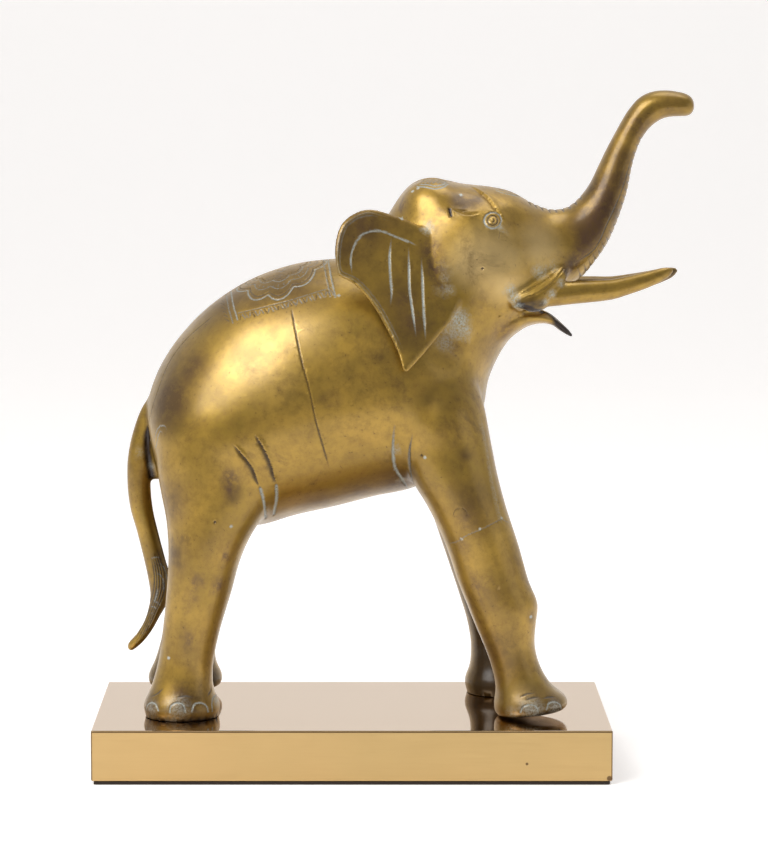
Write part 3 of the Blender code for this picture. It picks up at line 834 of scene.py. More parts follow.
# %% [markdown]
# The ears carry an arc and three straight cuts each, filled with pale salts. A raised line and a groove run
# just inside the rear rim, as if the wax had been pinched there.

# %% Engrave the ears
EAR_ARC = ((352.1, 274.5), (350.9, 258), (354.2, 246), (361, 236), (371, 231), (382, 231.4),
           (393.9, 236), (404.8, 240.3), (418.2, 245.7))
EAR_CUTS = (
    ((391.5, 237.8), (389.7, 255.4), (390.3, 274.8), (391.5, 295.4), (390.3, 306)),
    ((408.5, 246), (409, 267.5), (409.7, 290.6), (411.8, 306), (416.3, 337.8)),
    ((421.2, 256.5), (422.4, 277.2), (423.2, 301.5), (425.7, 340.5)),
)
REAR_RIM = EAR_OUTLINE[13:] + EAR_OUTLINE[:5]
RIM_LINES = (                # how far inside the rim in hundredths, then width and depth in millimetres
    (0.55, 0.9, -0.22),
    (0.95, 0.8, 0.2),
)


def inset(line, gap):
    """Return a line of (x, z) set in by a gap, to its right."""
    inner = []
    for before, (x, z), after in zip(line[:1] + line, line, line[1:] + line[-1:]):
        run = Vector((after[0] - before[0], after[1] - before[1])).normalized()
        inner.append((x + run.y * gap, z - run.x * gap))
    return inner


engraving = []
cut(engraving, EAR_ARC, 1.0, 0.35, 0.9, 0.1, drop=FAR_EAR_DROP)
for ear_cut in EAR_CUTS:
    cut(engraving, ear_cut, 1.35, 0.5, 1.0, 0.25, drop=FAR_EAR_DROP)
rear_rim = smooth_rows(REAR_RIM, SPOT_SPACING)
for side in (NEAR, FAR):
    for gap, width, depth in RIM_LINES:
        line = [surface.find_nearest(ear_point(x, z, side))[0] for x, z in inset(rear_rim, gap)]
        line = [Vector(row) for row in smooth_rows(line, STROKE_STEP)]
        engraving.append(Stroke(line, width * MM, depth * MM, 0.25, 0.1))
print("strokes on the ears:", len(engraving))

# %% [markdown]
# The eye is a ball inside an engraved ring, with a smaller ring and a short arc for its pupil, and a line
# runs down from its corner. Toenails are arched cuts whose salts make them stand out, and fine wrinkles lie
# above them. Casting flaws are cut the same way: one hole behind the eye, where the metal didn't fill the
# mould, and a few pits. Specks of salt are so shallow that only their colour shows.

# %% Engrave the eyes and the toenails
EYE = (492.8, 220.4)
EYE_RINGS = ((8.6, 8.0, 0.85), (5.2, 4.8, 0.05))     # half width and half height in pixels, then the salts
TEAR_LINE = ((499, 229), (499.5, 235), (498.5, 241))
CASTING_HOLE = ((449.6, 209.5), (450.2, 212.5), (451.2, 216))
PITS = ((421.5, 455.7), (482.5, 268.5), (214.9, 522.2), (429, 531))
SALT_SPECKS = ((401.8, 218.6), (461, 194.8), (412.6, 191.2), (418, 188.2), (338.6, 295.5), (424.9, 457.5),
               (231.2, 526.3), (168.6, 658), (531, 617), (461.8, 538.8), (480.2, 529.4), (501.9, 518.4))
TOENAILS = (
    ((146, 710), (147.5, 705), (151.5, 702.6), (155.7, 704.5), (158.3, 710.5)),
    ((169.8, 712), (171, 706), (177, 702.8), (183, 704.8), (185.2, 712)),
    ((191.8, 711.5), (194, 705), (200, 702.8), (206, 705.5), (208.2, 711.5)),
    ((212.5, 711), (212.5, 700), (216, 695), (219.5, 699), (220.4, 708)),
    ((520.5, 712.5), (523, 707), (530, 704.8), (536.5, 707), (538, 712)),
    ((546.6, 709.5), (548.5, 704), (554.5, 701.8), (560, 704.6), (561.3, 708.6)),
)
WRINKLES = (
    ((150, 697), (158, 693), (164, 687)), ((176, 698), (186, 696), (195, 698.5)),
    ((207, 697), (211, 690), (211, 683)), ((519, 698), (527, 694), (536, 693)),
    ((524, 701), (532, 698), (541, 697)), ((541, 699), (550, 697), (557, 697.5)),
)

for half_width, half_height, salts in EYE_RINGS:
    cut(engraving, ring_of_pixels(EYE, half_width, half_height), 1.1, 0.45, salts)
cut(engraving, ring_of_pixels(EYE, 1.6, 1.6, -1.2, 2.6), 1.1, 0.45)
cut(engraving, TEAR_LINE, 0.7, 0.2, 0.1, 0.3)
cut(engraving, CASTING_HOLE, 1.8, 0.8, both=False)
for pit in PITS:
    cut(engraving, ring_of_pixels(pit, 0.6, 0.6, count=4), 1.2, 0.5, both=False)
for speck in SALT_SPECKS:
    cut(engraving, ring_of_pixels(speck, 0.7, 0.5, count=4), 1.3, 0.05, 1.0, both=False)
for nail in TOENAILS:
    cut(engraving, nail, 1.0, 0.4, 0.9)
for wrinkle in WRINKLES:
    cut(engraving, wrinkle, 1.1, 0.3, 0.15, 0.3)
print("toenails and wrinkles on a side:", len(TOENAILS), len(WRINKLES))

# %% [markdown]
# Folds of skin are crescents where the legs meet the body. The upper part of a hind fold is a step, with
# its skin proud on one side, and its lower part is a groove that holds salts. The girth is a thin dark score
# down the flank from the saddle cloth. A mended break crosses the near fore leg, with a plug beside it.

# %% Engrave the folds, the girth and the mend
HIND_FOLDS = (
    ((234, 444.5), (243, 455), (251.6, 466), (259.6, 486), (264.2, 503), (265.9, 519)),
    ((255, 434), (263, 446.5), (270.5, 463), (276.2, 483.5), (276.6, 498), (273.6, 516)),
)
FOLD_SPLIT = 3               # the mark of a hind fold where its step gives way to its groove
FORE_FOLDS = (
    ((394.8, 423), (393.4, 437), (393.2, 452), (394.6, 466), (401, 478), (408, 488.5)),
    ((413, 432.7), (409.8, 448), (409.2, 462), (411, 476), (414.4, 489)),
)
GIRTH = ((290, 303), (293, 318), (296.5, 336.5), (301.8, 362), (309.3, 390), (315.5, 420), (323.2, 447),
         (329.5, 468.6))
MEND = ((446.6, 543), (453.7, 542.5), (460.5, 539.6), (467, 535.3), (479.5, 530.4), (493.6, 523.2),
        (502.3, 519.5), (511, 524.4))
PLUG = (460.3, 515)

for fold in HIND_FOLDS:
    cut(engraving, fold[:FOLD_SPLIT + 1], 4.4, 0.8, 0.0, 0.2, step=-1)
    cut(engraving, fold[FOLD_SPLIT:], 1.6, 0.5, 0.9, 0.05)
for fold, salts in zip(FORE_FOLDS, (0.9, 0.35)):
    cut(engraving, fold, 1.6, 0.55, salts, 0.3)
cut(engraving, GIRTH, 1.0, 0.4, 0.0, 0.1)
cut(engraving, MEND, 0.6, 0.2, 0.35, 0.1, both=False)
cut(engraving, ring_of_pixels(PLUG, 6.8, 7, math.pi, math.pi), 0.6, 0.2, both=False)
print("folds on a side:", len(HIND_FOLDS) + len(FORE_FOLDS))

# %% [markdown]
# A cloth is engraved over the back. Double lines bound it, leaning ticks make its fringe, and a scalloped
# medallion like a lotus lies across the spine, with a lozenge and a net of hatches at its heart. Spots on it
# are (x, y) in hundredths, looking down. Each of the medallion's lines has a size, a width and its salts.

# %% Engrave the saddle cloth
CLOTH_REAR = ((-19.6, 0), (-19.4, 3), (-18.9, 7.3), (-18.2, 10.2))
CLOTH_FRONT = ((-3.8, 0), (-3.7, 3.7), (-3.2, 8.4), (-2.6, 11.2))
HEM_TOP = ((238, 313), (262, 307.5), (291, 300), (315, 292.5), (333, 287))
HEM_FOOT = ((239.5, 321), (262, 315), (291.4, 307), (315, 300.5), (334.5, 296))
BORDER_GAP = 0.75            # between the two lines of a border, in hundredths
HEM_STEP = 0.5
FRINGE_TICKS = 30
TICK_LEAN, COUNTER_LEAN = 1.6, -0.8      # pixels that a tick leans; every third one leans back
MEDALLION = (-11.3, 7.5, 10.2)   # its centre along the spine and its two radii
PETALS = 10
PETAL_DEPTH = 0.11
PETAL_POINTS = 60
MEDALLION_LINES = ((1.0, 0.9, 0.75), (0.93, 0.7, 0.1), (0.80, 0.6, 0.5), (0.64, 0.7, 0.6), (0.57, 0.6, 0.1))
VEIN = (0.69, 0.76)          # where a petal's vein starts and ends, as shares of the oval
LOZENGE_FOOT, LOZENGE_WIDE, LOZENGE_HIGH = 0.4, 1.5, 3.0
HATCHES = 5
HATCH_FIRST, HATCH_GAP, HATCH_RUN = -3.4, 0.7, 1.2
HATCH_INNER, HATCH_OUTER = 3.9, 5.3


def on_oval(oval, size, angle):
    """Return a spot on an oval that lies across the spine, at a share of its size."""
    centre, half_long, half_wide = oval
    return centre - half_long * size * math.cos(angle), half_wide * size * math.sin(angle)


def scalloped(size):
    """Return spots on half of the medallion's oval, drawn in and out into petals."""
    spots = []
    for k in range(PETAL_POINTS + 1):
        angle = math.pi * k / PETAL_POINTS
        swing = size * (1 - PETAL_DEPTH * (1 - abs(math.sin(PETALS / 2 * angle))))
        spots.append(on_oval(MEDALLION, swing, angle))
    return spots


for line in (CLOTH_REAR, CLOTH_FRONT):
    cut_back(engraving, line, 0.85, 0.35, 0.7)
    cut_back(engraving, [(x - BORDER_GAP, y) for x, y in line], 0.65, 0.3, 0.5)
cut(engraving, HEM_TOP, 0.6, 0.25, 0.35)
tops = smooth_rows(HEM_TOP, HEM_STEP)
feet = smooth_rows(HEM_FOOT, HEM_STEP)
for k in range(FRINGE_TICKS):
    t = (k + 0.5) / FRINGE_TICKS
    top = tops[round(t * (len(tops) - 1))]
    foot = feet[round(t * (len(feet) - 1))]
    lean = TICK_LEAN if k % 3 else COUNTER_LEAN
    salts = 0.4 if k % 4 else 0.0
    cut(engraving, ((top[0] - lean, top[1] + 1), (foot[0] + lean, foot[1])), 0.65, 0.32, salts, 0.2)
for size, width, salts in MEDALLION_LINES:
    cut_back(engraving, scalloped(size), width, 0.34, salts)
for k in range(2 * PETALS):
    angle = math.pi * (k + 0.5) / (2 * PETALS)
    cut_back(engraving, [on_oval(MEDALLION, size, angle) for size in VEIN], 0.6, 0.28, 0.4, 0.3)
lozenge = [(MEDALLION[0] + LOZENGE_WIDE * math.cos(angle), LOZENGE_FOOT + LOZENGE_HIGH * math.sin(angle))
           for angle in (0, 1.57, 3.14)]
cut_back(engraving, lozenge[:2], 0.6, 0.25, 0.5)
cut_back(engraving, lozenge[1:], 0.6, 0.25, 0.5)
for k in range(HATCHES):
    x = MEDALLION[0] + HATCH_FIRST + HATCH_GAP * k
    cut_back(engraving, ((x, HATCH_INNER), (x + HATCH_RUN, HATCH_OUTER)), 0.45, 0.2, 0.2)
    cut_back(engraving, ((x + HATCH_RUN, HATCH_INNER), (x, HATCH_OUTER)), 0.45, 0.2, 0.2)
print("ticks in the fringe:", FRINGE_TICKS, "petals round the medallion:", 2 * PETALS)

# %% [markdown]
# A strap runs from the cloth to the tail on each side of the spine, with a comb of short curved cuts where
# it starts, and ends in a small flame over the root of the tail.

# %% Engrave the crupper strap and the flame
CRUPPER = ((219.6, 311), (202, 325), (185.7, 340), (167.9, 365), (158.9, 388), (151.8, 409.6), (148, 424))
CRUPPER_INNER = ((214, 305), (197, 318.5), (181.5, 333.5), (163, 360), (153.8, 385), (147.5, 406))
FLAME = (
    ((167, 430.5), (165, 426.5), (161.5, 425.5), (157.5, 429), (155, 436), (154.5, 443)),
    ((163, 433), (160, 431.5), (158, 436), (156.5, 444), (154, 450)),
    ((150, 433), (150.5, 440), (153, 447)),
)
COMB_TEETH = 6
COMB_START, COMB_STEP = (217.5, 299), (1.1, 3.9)
COMB_TOOTH = ((0, 0), (4, 1.2), (7.5, 4))

cut(engraving, CRUPPER, 0.7, 0.3, 0.15, 0.1)
cut(engraving, CRUPPER_INNER, 0.5, 0.2, 0.0, 0.1)
for k in range(COMB_TEETH):
    start = (COMB_START[0] + COMB_STEP[0] * k, COMB_START[1] + COMB_STEP[1] * k)
    cut(engraving, moved(COMB_TOOTH, start), 0.6, 0.25, 0.1, 0.3)
for curl in FLAME:
    cut(engraving, curl, 0.7, 0.3, 0.7, 0.2)
print("strokes so far:", len(engraving))

# %% [markdown]
# The crown has an oval ornament, the root of the trunk a second one, and the trunk is ribbed along its
# upper root and all along its underside, where it would wrinkle. Ribs are cuts across an oval section, so
# they come from the sections that shaped the trunk: one function cuts a run of them, a set gap apart. The
# tail ends in a brush of long hair.

# %% Engrave the crown, the trunk and the tail
CROWN_ORNAMENT = (13.2, 2.8, 3.7)    # centre along the middle plane and two radii, in hundredths
ROOT_ORNAMENT = (25.2, 2.0, 2.4)
TRUNK_BORDER = ((571, 266), (583, 258), (593.6, 250), (600.3, 239.5), (607, 224), (614.5, 208), (622, 190),
                (628, 170), (634, 150))
OVAL_POINTS = 14
SPOKES = 7
SPOKE = (0.28, 0.56)         # where a spoke starts and ends, as shares of the oval
CROWN_ARCS = 6
CROWN_ARC_START, CROWN_ARC_GAP = (421, 183), 4.3
CROWN_ARC = ((0, 0), (2, -2.2), (4, 0))
TRUNK_STEP = 0.25
RIB_POINTS = 6               # on each side of a rib's middle
RIB_WIDTH = 1.5
TAIL_HAIRS = 5
FIRST_HAIR = ((150, 556), (153, 575), (152, 590), (145, 612), (131, 641))
HAIR_SPREAD = ((7, -10), (13, 0), (14, 0), (12, 0), (10, 4))     # from the first hair to past the last
TAIL_TUFTS = 9
FIRST_TUFT, TUFT_SPREAD = (157, 604), (-24, 37)
TUFT = ((-4, -2), (0, -1.5), (4, 2))
TAIL_CURLS = (
    ((157, 562), (163, 566), (166.5, 574), (167, 584)), ((155, 572), (161, 576), (164, 584), (163, 594)),
    ((158, 588), (156, 596), (153, 604)), ((150, 560), (155, 557), (160, 558)),
)
CROWN_RIM = (
    ((417, 186.5), (425, 187), (434, 188.6), (442, 187.6), (448, 184)),
    ((420, 184.4), (428, 184.6), (435, 186), (442, 184.8), (446, 181.8)),
)
ROOT_RIM = (
    ((496.5, 190.6), (504, 193.2), (512, 195.0), (519, 196.4)),
    ((500, 188.8), (508, 190.8), (515, 192.6)),
)


def rib(row, middle, reach):
    """Return a line on the skin across an oval section of the trunk, round an angle."""
    angles = [middle + reach * (k / RIB_POINTS - 1) for k in range(2 * RIB_POINTS + 1)]
    points = [surface.find_nearest(oval_point(row, FAR, angle))[0] for angle in angles]
    return [Vector(point) for point in smooth_rows(points, STROKE_STEP)]


def rib_trunk(first, allowed, gap, middle, reach, depth):
    """Cut ribs along the outline that starts at one of a row's numbers, wherever they are allowed."""
    last_rib = None
    for row in section_rows(HEAD, TRUNK_STEP):
        spot = Vector((row[first], row[first + 1]))
        if not allowed(spot) or (last_rib and (spot - last_rib).length < gap):
            continue
        engraving.append(Stroke(rib(row, middle, reach), RIB_WIDTH * MM, depth * MM, 0.05, 0.25))
        last_rib = spot


for oval in (CROWN_ORNAMENT, ROOT_ORNAMENT):
    for size, width, depth, salts in ((1.0, 0.7, 0.3, 0.5), (0.66, 0.5, 0.25, 0.2)):
        spots = [on_oval(oval, size, math.pi * k / OVAL_POINTS) for k in range(OVAL_POINTS + 1)]
        cut_back(engraving, spots, width, depth, salts)
    for k in range(SPOKES):
        angle = math.pi * (k + 0.5) / SPOKES
        cut_back(engraving, [on_oval(oval, size, angle) for size in SPOKE], 0.45, 0.22, 0.1)
for line in CROWN_RIM + ROOT_RIM:
    cut(engraving, line, 1.0, 0.35, 0.95)
for k in range(CROWN_ARCS):
    start = (CROWN_ARC_START[0] + CROWN_ARC_GAP * k, CROWN_ARC_START[1])
    cut(engraving, moved(CROWN_ARC, start), 0.65, 0.28, 0.5)

rib_trunk(2, lambda spot: spot.x >= 37.0 and spot.y <= 92.5, 1.15, math.pi, 0.95, 0.3)
rib_trunk(0, lambda spot: 28.4 < spot.x < 37.2, 1.05, 0, 0.5, 0.45)
cut(engraving, TRUNK_BORDER, 0.8, 0.3, 0.2, 0.15)

for k in range(TAIL_HAIRS):
    t = (k + 0.5) / TAIL_HAIRS
    hair = [(x + across * t, y + down * t) for (x, y), (across, down) in zip(FIRST_HAIR, HAIR_SPREAD)]
    cut(engraving, hair, 0.95, 0.42, 0.1, 0.15)
for curl in TAIL_CURLS:
    cut(engraving, curl, 0.9, 0.35, 0.6, 0.2)
for k in range(TAIL_TUFTS):
    t = k / (TAIL_TUFTS - 1)
    start = (FIRST_TUFT[0] + TUFT_SPREAD[0] * t, FIRST_TUFT[1] + TUFT_SPREAD[1] * t)
    cut(engraving, moved(TUFT, start), 0.8, 0.3, 0.5, 0.2)

ENGRAVED_EDGE = 0.72 * MM    # the finest edge that the engraving needs
ENGRAVED_LIP = 0.12          # how high the burr along a cut stands, as a share of its depth
print("strokes:", len(engraving), "with", sum(len(stroke.points) for stroke in engraving), "points")
cuts = carve(skin, engraving, ENGRAVED_EDGE, ENGRAVED_LIP)
print("engraved skin:", len(skin.faces), "triangles")

# %% [markdown]
# Colour that isn't spread evenly is painted on the skin as attributes, which the metal reads later. Pale
# salts gather in damp corners and purplish films stay where no hand rubs. Brown patches are partly brown
# patina and partly painted shade, and bright ones are partly wear and partly painted light. Painted shade
# also fills the deepest hollows and the line under two feet. Each patch is a pixel of the photograph, a
# radius in millimetres and a strength. The inner sides of legs and tusks get painted shade, with some dirt.
# The cuts themselves are painted too, with painted shade by how deep each vertex was sunk.

# %% Paint salts, films, painted light and painted shade
PATCH_SPACING = 3            # pixels between the patches along a line


def along(pixels, radius, strength):
    """Return patches set close together along a smooth line through pixels."""
    return tuple((pixel, radius, strength) for pixel in smooth_rows(pixels, PATCH_SPACING))


SALT_PATCHES = (
    ((459, 320), 5.0, 1.0), ((463, 330), 4.5, 0.9), ((452, 330), 5.0, 0.7), ((444, 342), 4.0, 0.5),
    ((449, 290), 3.0, 0.6), ((446, 278), 2.6, 0.5), ((442, 268), 2.0, 0.35), ((426, 230), 2.6, 0.9),
    ((511, 290), 2.6, 1.0), ((514, 298), 2.8, 1.0), ((517, 306), 2.4, 1.0), ((540, 272), 3.6, 0.7),
    ((553, 268), 2.6, 0.5), ((561, 283), 2.2, 0.7), ((552, 294), 2.2, 0.8), ((546, 302), 2.0, 0.7),
    ((500.5, 227.5), 1.9, 0.8), ((532, 711), 6.0, 0.7), ((178, 708), 6.0, 0.5), ((216, 700), 4.0, 0.6),
    ((152, 708), 4.0, 0.5), ((555, 708), 4.0, 0.6), ((402, 479), 2.4, 0.8), ((409, 488), 2.6, 0.8),
    ((396, 450), 2.4, 0.5), ((152, 466), 2.2, 0.5), ((140, 452), 2.6, 0.3), ((512, 716), 4.0, 0.6),
) + along(((482, 424), (487, 452), (492, 482), (500, 518)), 1.6, 0.3)
# Brown patches: brown patina on the ears, and painted shade on the trunk, the haunch, the belly, the backs
# and feet of the legs and the temple.
BROWN_FILM_AND_SHADE = (
    ((366, 222), 14.0, 0.8), ((346, 245), 12.0, 0.8), ((392, 215), 10.0, 0.6), ((412, 330), 10.0, 0.8),
    ((400, 300), 12.0, 0.6), ((430, 395), 9.0, 0.3), ((600, 190), 12.0, 1.1), ((590, 225), 13.0, 1.2),
    ((622, 160), 10.0, 0.9), ((640, 125), 10.0, 0.7), ((672, 104), 9.0, 0.5), ((135, 560), 16.0, 0.6),
    ((150, 600), 14.0, 0.7), ((140, 480), 12.0, 0.5), ((500, 600), 14.0, 0.5), ((480, 520), 10.0, 0.5),
    ((190, 705), 12.0, 1.1), ((530, 705), 10.0, 1.0), ((170, 400), 16.0, 1.2), ((230, 300), 18.0, 0.7),
    ((290, 285), 20.0, 0.9), ((450, 190), 14.0, 0.3), ((530, 225), 14.0, 0.2), ((464, 455), 4.0, 0.9),
    ((604, 205), 10.0, 1.3), ((618, 180), 9.0, 1.1), ((585, 240), 8.0, 1.0), ((175, 375), 16.0, 0.6),
    ((400, 480), 16.0, 1.0), ((360, 490), 12.0, 0.8), ((445, 400), 9.0, 0.4), ((260, 300), 12.0, 0.7),
    ((320, 500), 10.0, 0.6), ((163, 560), 10.0, 0.7), ((162, 620), 10.0, 0.6), ((490, 345), 10.0, 0.6),
    ((464, 202), 8.0, 1.3), ((477, 200), 5.0, 1.0), ((515, 560), 8.0, 0.5), ((531, 617), 4.0, 0.6),
    ((205, 540), 9.0, 0.4), ((150, 705), 8.0, 1.0), ((172, 500), 12.0, 0.8), ((176, 556), 9.0, 0.9),
    ((192, 368), 11.0, 1.0), ((612, 208), 8.0, 1.2), ((470, 500), 12.0, 0.8), ((500, 645), 12.0, 0.7),
    ((515, 665), 10.0, 0.6), ((185, 650), 10.0, 0.5), ((555, 705), 8.0, 0.9), ((232, 495), 5.0, 0.8),
)
# Bright patches: partly wear, partly painted light on the cheek, the root of the trunk and the fore foot, and
# a painted highlight on the flank.
WEAR_AND_PAINTED_LIGHT = (
    ((490, 258), 16.0, 0.9), ((505, 285), 10.0, 0.6), ((540, 243), 11.0, 0.8), ((474, 262), 12.0, 1.0),
    ((258, 360), 20.0, 0.25), ((300, 330), 16.0, 0.25), ((525, 700), 8.0, 0.6),
)
PURPLE_FILM = (
    ((432, 250), 6.0, 0.9), ((436, 268), 6.0, 0.9), ((441, 285), 5.0, 0.7), ((484, 463), 3.0, 0.8),
    ((635, 127), 6.0, 0.6), ((415, 320), 6.0, 0.6), ((403, 300), 5.0, 0.5), ((478, 585), 4.0, 0.8),
    ((450, 345), 7.0, 0.6), ((230, 478), 5.0, 0.8), ((226, 555), 4.0, 0.9), ((218, 586), 4.0, 0.9),
    ((196, 583), 4.0, 0.9), ((187, 639), 4.0, 0.8), ((468, 520), 6.0, 0.5), ((462, 545), 5.0, 0.5),
    ((360, 225), 8.0, 0.5), ((505, 330), 7.0, 0.6), ((330, 400), 5.0, 0.4), ((402, 205), 4.0, 0.9),
    ((231, 490), 4.0, 0.8), ((190, 600), 4.0, 0.6), ((180, 690), 4.0, 0.6),
) + along(((569, 270), (584, 247), (598, 218), (608, 197)), 4.6, 0.8)
# Painted shade: the mouth and the lip, the root of each tusk, the crevice beside the tail, the casting hole,
# the line under two feet and the right side of the trunk.
PAINTED_SHADE_PATCHES = (
    ((566, 272), 2.2, 0.7), ((586, 281), 2.4, 0.5), ((572, 262), 3.4, 0.4), ((600, 200), 9.0, 0.25),
    ((612, 216), 7.0, 0.3), ((525, 304), 3.0, 0.7), ((533, 304), 3.4, 0.8), ((541, 304), 3.0, 0.8),
)
PAINTED_SHADE_LINES = (               # the mouth, the lip, beside the tail, the casting hole, and under two feet
    (((520, 305), (530, 309.5), (541, 311.5), (551, 314.5)), 2.2, 1.4),
    (((555, 319), (560, 325), (566, 331), (570, 335)), 3.0, 1.3),
    (CREVICE_BY_TAIL, 2.2, 1.3),
    (((449.8, 210), (451, 215.4)), 0.9, 1.5),
    (((147, 716.5), (160, 719), (180, 720), (200, 719.5), (216, 717)), 1.5, 1.2),
    (((495, 715.5), (505, 717.5), (525, 717), (545, 713.5), (560, 709.5)), 1.4, 1.1),
)
for shade_line, radius, strength in PAINTED_SHADE_LINES:
    PAINTED_SHADE_PATCHES += along(shade_line, radius, strength)
LEG_ROOT, LEG_FADE = 36.0, 8.0       # legs stay dark inside up to this height, over this fade
LEG_GAIN, LEG_DARK = 1.5, 0.9
TUSK_ROOT, TUSK_TOP, TUSK_DARK = 34.0, 72.5, 0.8
FLAT_DOWN = -0.98            # a face whose normal points down more steeply than this lies flat


def painted(bm, patches):
    """Return one value for each vertex: the strongest patch that reaches it, on either side."""
    spots = [(through_pixel(pixel), radius * MM, strength) for pixel, radius, strength in patches]
    spots = [spot for spot in spots if spot[0] is not None]
    spots += [(mirrored([centre])[0], radius, strength) for centre, radius, strength in spots]
    places = np.array([vert.co for vert in bm.verts])
    values = np.zeros(len(places), np.float32)
    for centre, radius, strength in spots:
        share = np.linalg.norm(places - np.array(centre), axis=1) / radius
        values = np.maximum(values, strength * faded(share))
    return values


def inner_shade_and_grime(bm):
    """Return how far each leg and tusk vertex looks inwards, where painted shade and dark patina darken it.
    """
    values = np.zeros(len(bm.verts), np.float32)
    for vert in bm.verts:
        height = (vert.co.z - SOLE) / SHARE
        inwards = vert.normal.y * math.copysign(1.0, MIDDLE - vert.co.y)
        if height < LEG_ROOT:
            fade = min(1.0, (LEG_ROOT - height) / LEG_FADE)
            values[vert.index] = min(1.0, max(0.0, inwards) * LEG_GAIN) * fade * LEG_DARK
        elif vert.co.x / SHARE > TUSK_ROOT and height < TUSK_TOP:
            values[vert.index] = max(0.0, inwards) * TUSK_DARK
    return values


PATCHES = {"salts": SALT_PATCHES, "brown_film_and_shade": BROWN_FILM_AND_SHADE, "purple_film": PURPLE_FILM, "wear_and_painted_light": WEAR_AND_PAINTED_LIGHT,
           "painted_shade": PAINTED_SHADE_PATCHES}

surface = BVHTree.FromBMesh(skin)
skin.verts.index_update()
skin.normal_update()
paint = {"inner_shade_and_grime": inner_shade_and_grime(skin)}
for name, patches in PATCHES.items():
    paint[name] = painted(skin, patches)
for name in ("cut_depth", "cut_salts"):
    paint[name] = np.zeros(len(skin.verts), np.float32)
for vert, (depth, salts) in cuts.items():
    paint["cut_depth"][vert.index] = depth
    paint["cut_salts"][vert.index] = salts
skin.to_mesh(casting.data)
skin.free()
for name, values in paint.items():
    casting.data.attributes.new(name, "FLOAT", "POINT").data.foreach_set("value", values)
casting.data.shade_smooth()
for face in casting.data.polygons:
    if face.normal.z < FLAT_DOWN and face.center.z < SOLE + 0.5 * MM:
        face.use_smooth = False      # soles stay flat, with a crisp edge
casting.data.materials.clear()
print("painted:", ", ".join(paint))

# %% [markdown]
# Materials are built from nodes. Every pattern reads Object coordinates, so it is fixed to the piece, and
# its scale can be given per metre. A small class keeps the node code short: it adds a node and wires its
# inputs, makes a noise, stretches a value, does a sum or mixes two colours.

# %% Helpers for node materials
class Recipe:
    """A material being built: add() makes a node, and mix() blends two colours."""

    def __init__(self, name):
        self.material = bpy.data.materials.new(name)
        self.material.use_nodes = True
        self.nodes = self.material.node_tree.nodes
        self.links = self.material.node_tree.links
        self.shader = self.nodes["Principled BSDF"]
        self.place = self.add("TexCoord").outputs["Object"]

    def feed(self, socket, value):
        """Wire a socket to another, or give it a value."""
        if isinstance(value, bpy.types.NodeSocket):
            self.links.new(value, socket)
        else:
            socket.default_value = value

    def add(self, kind, settings=(), **inputs):
        """Add a node; its settings are pairs, and its inputs are values or sockets by name."""
        made = self.nodes.new("ShaderNode" + kind)
        for name, value in settings:
            setattr(made, name, value)
        for name, value in inputs.items():
            self.feed(made.inputs[name.replace("_", " ")], value)
        return made

    def noise(self, scale, detail=3.0, roughness=0.55, distortion=0.0, place=None):
        """Return a noise of so many waves a metre."""
        return self.add("TexNoise", Vector=place or self.place, Scale=scale, Detail=detail,
                        Roughness=roughness, Distortion=distortion).outputs["Fac"]

    def band(self, value, low, high, bottom=0.0, top=1.0):
        """Return a value stretched so that low and high become bottom and top."""
        return self.add("MapRange", [("interpolation_type", "SMOOTHSTEP")], Value=value, **{
            "From Min": low, "From Max": high, "To Min": bottom, "To Max": top}).outputs["Result"]

    def math(self, operation, a, b=0.0):
        """Return the result of one sum on two values."""
        made = self.add("Math", [("operation", operation)])
        self.feed(made.inputs[0], a)
        self.feed(made.inputs[1], b)
        return made.outputs[0]

    def mix(self, factor, a, b):
        """Return colour a blended towards colour b."""
        made = self.add("Mix", [("data_type", "RGBA")])
        self.feed(made.inputs[0], factor)
        self.feed(made.inputs[6], (*a, 1) if isinstance(a, tuple) else a)
        self.feed(made.inputs[7], (*b, 1) if isinstance(b, tuple) else b)
        return made.outputs[2]

    def painted(self, name):
        """Return an attribute that was painted on the skin."""
        return self.add("Attribute", [("attribute_name", name)]).outputs["Fac"]

    def finish(self, **inputs):
        """Wire the shader's own inputs and return the material."""
        for name, value in inputs.items():
            self.feed(self.shader.inputs[name.replace("_", " ")], value)
        return self.material


# %% [markdown]
# The bronze is golden where hands have worn it and brown where they haven't. Broad clouds of noise mix the
# golden, olive and brown metal. Finer noise adds freckles and pits, and the painted stains darken the ears.
# Bright patches are partly wear and partly painted light, with a painted highlight on the flank, and painted
# shade darkens the hollows, the cuts, the inner sides of the legs and the shaded sides of the trunk and legs.
# Salts are chalky and not metallic, so they also lower the metallic value.

# %% Aged bronze
BRIGHT = (0.70, 0.50, 0.21)
GOLD = (0.45, 0.277, 0.044)
OLIVE = (0.33, 0.205, 0.028)
DULL = (0.25, 0.145, 0.025)
BROWN = (0.13, 0.072, 0.02)
PURPLE = (0.12, 0.062, 0.036)
UMBER = (0.034, 0.017, 0.009)
SALT = (0.47, 0.50, 0.45)

bronze = Recipe("aged_bronze_skin")
colour = bronze.mix(bronze.band(bronze.noise(16, 4, 0.6, 0.6), 0.38, 0.64), GOLD, OLIVE)
mottle = bronze.band(bronze.noise(260, 4, 0.7), 0.38, 0.68, 0.0, 0.5)
colour = bronze.mix(mottle, colour, DULL)
# Bright patches of wear and painted light, with the painted highlight on the flank.
colour = bronze.mix(bronze.painted("wear_and_painted_light"), colour, BRIGHT)
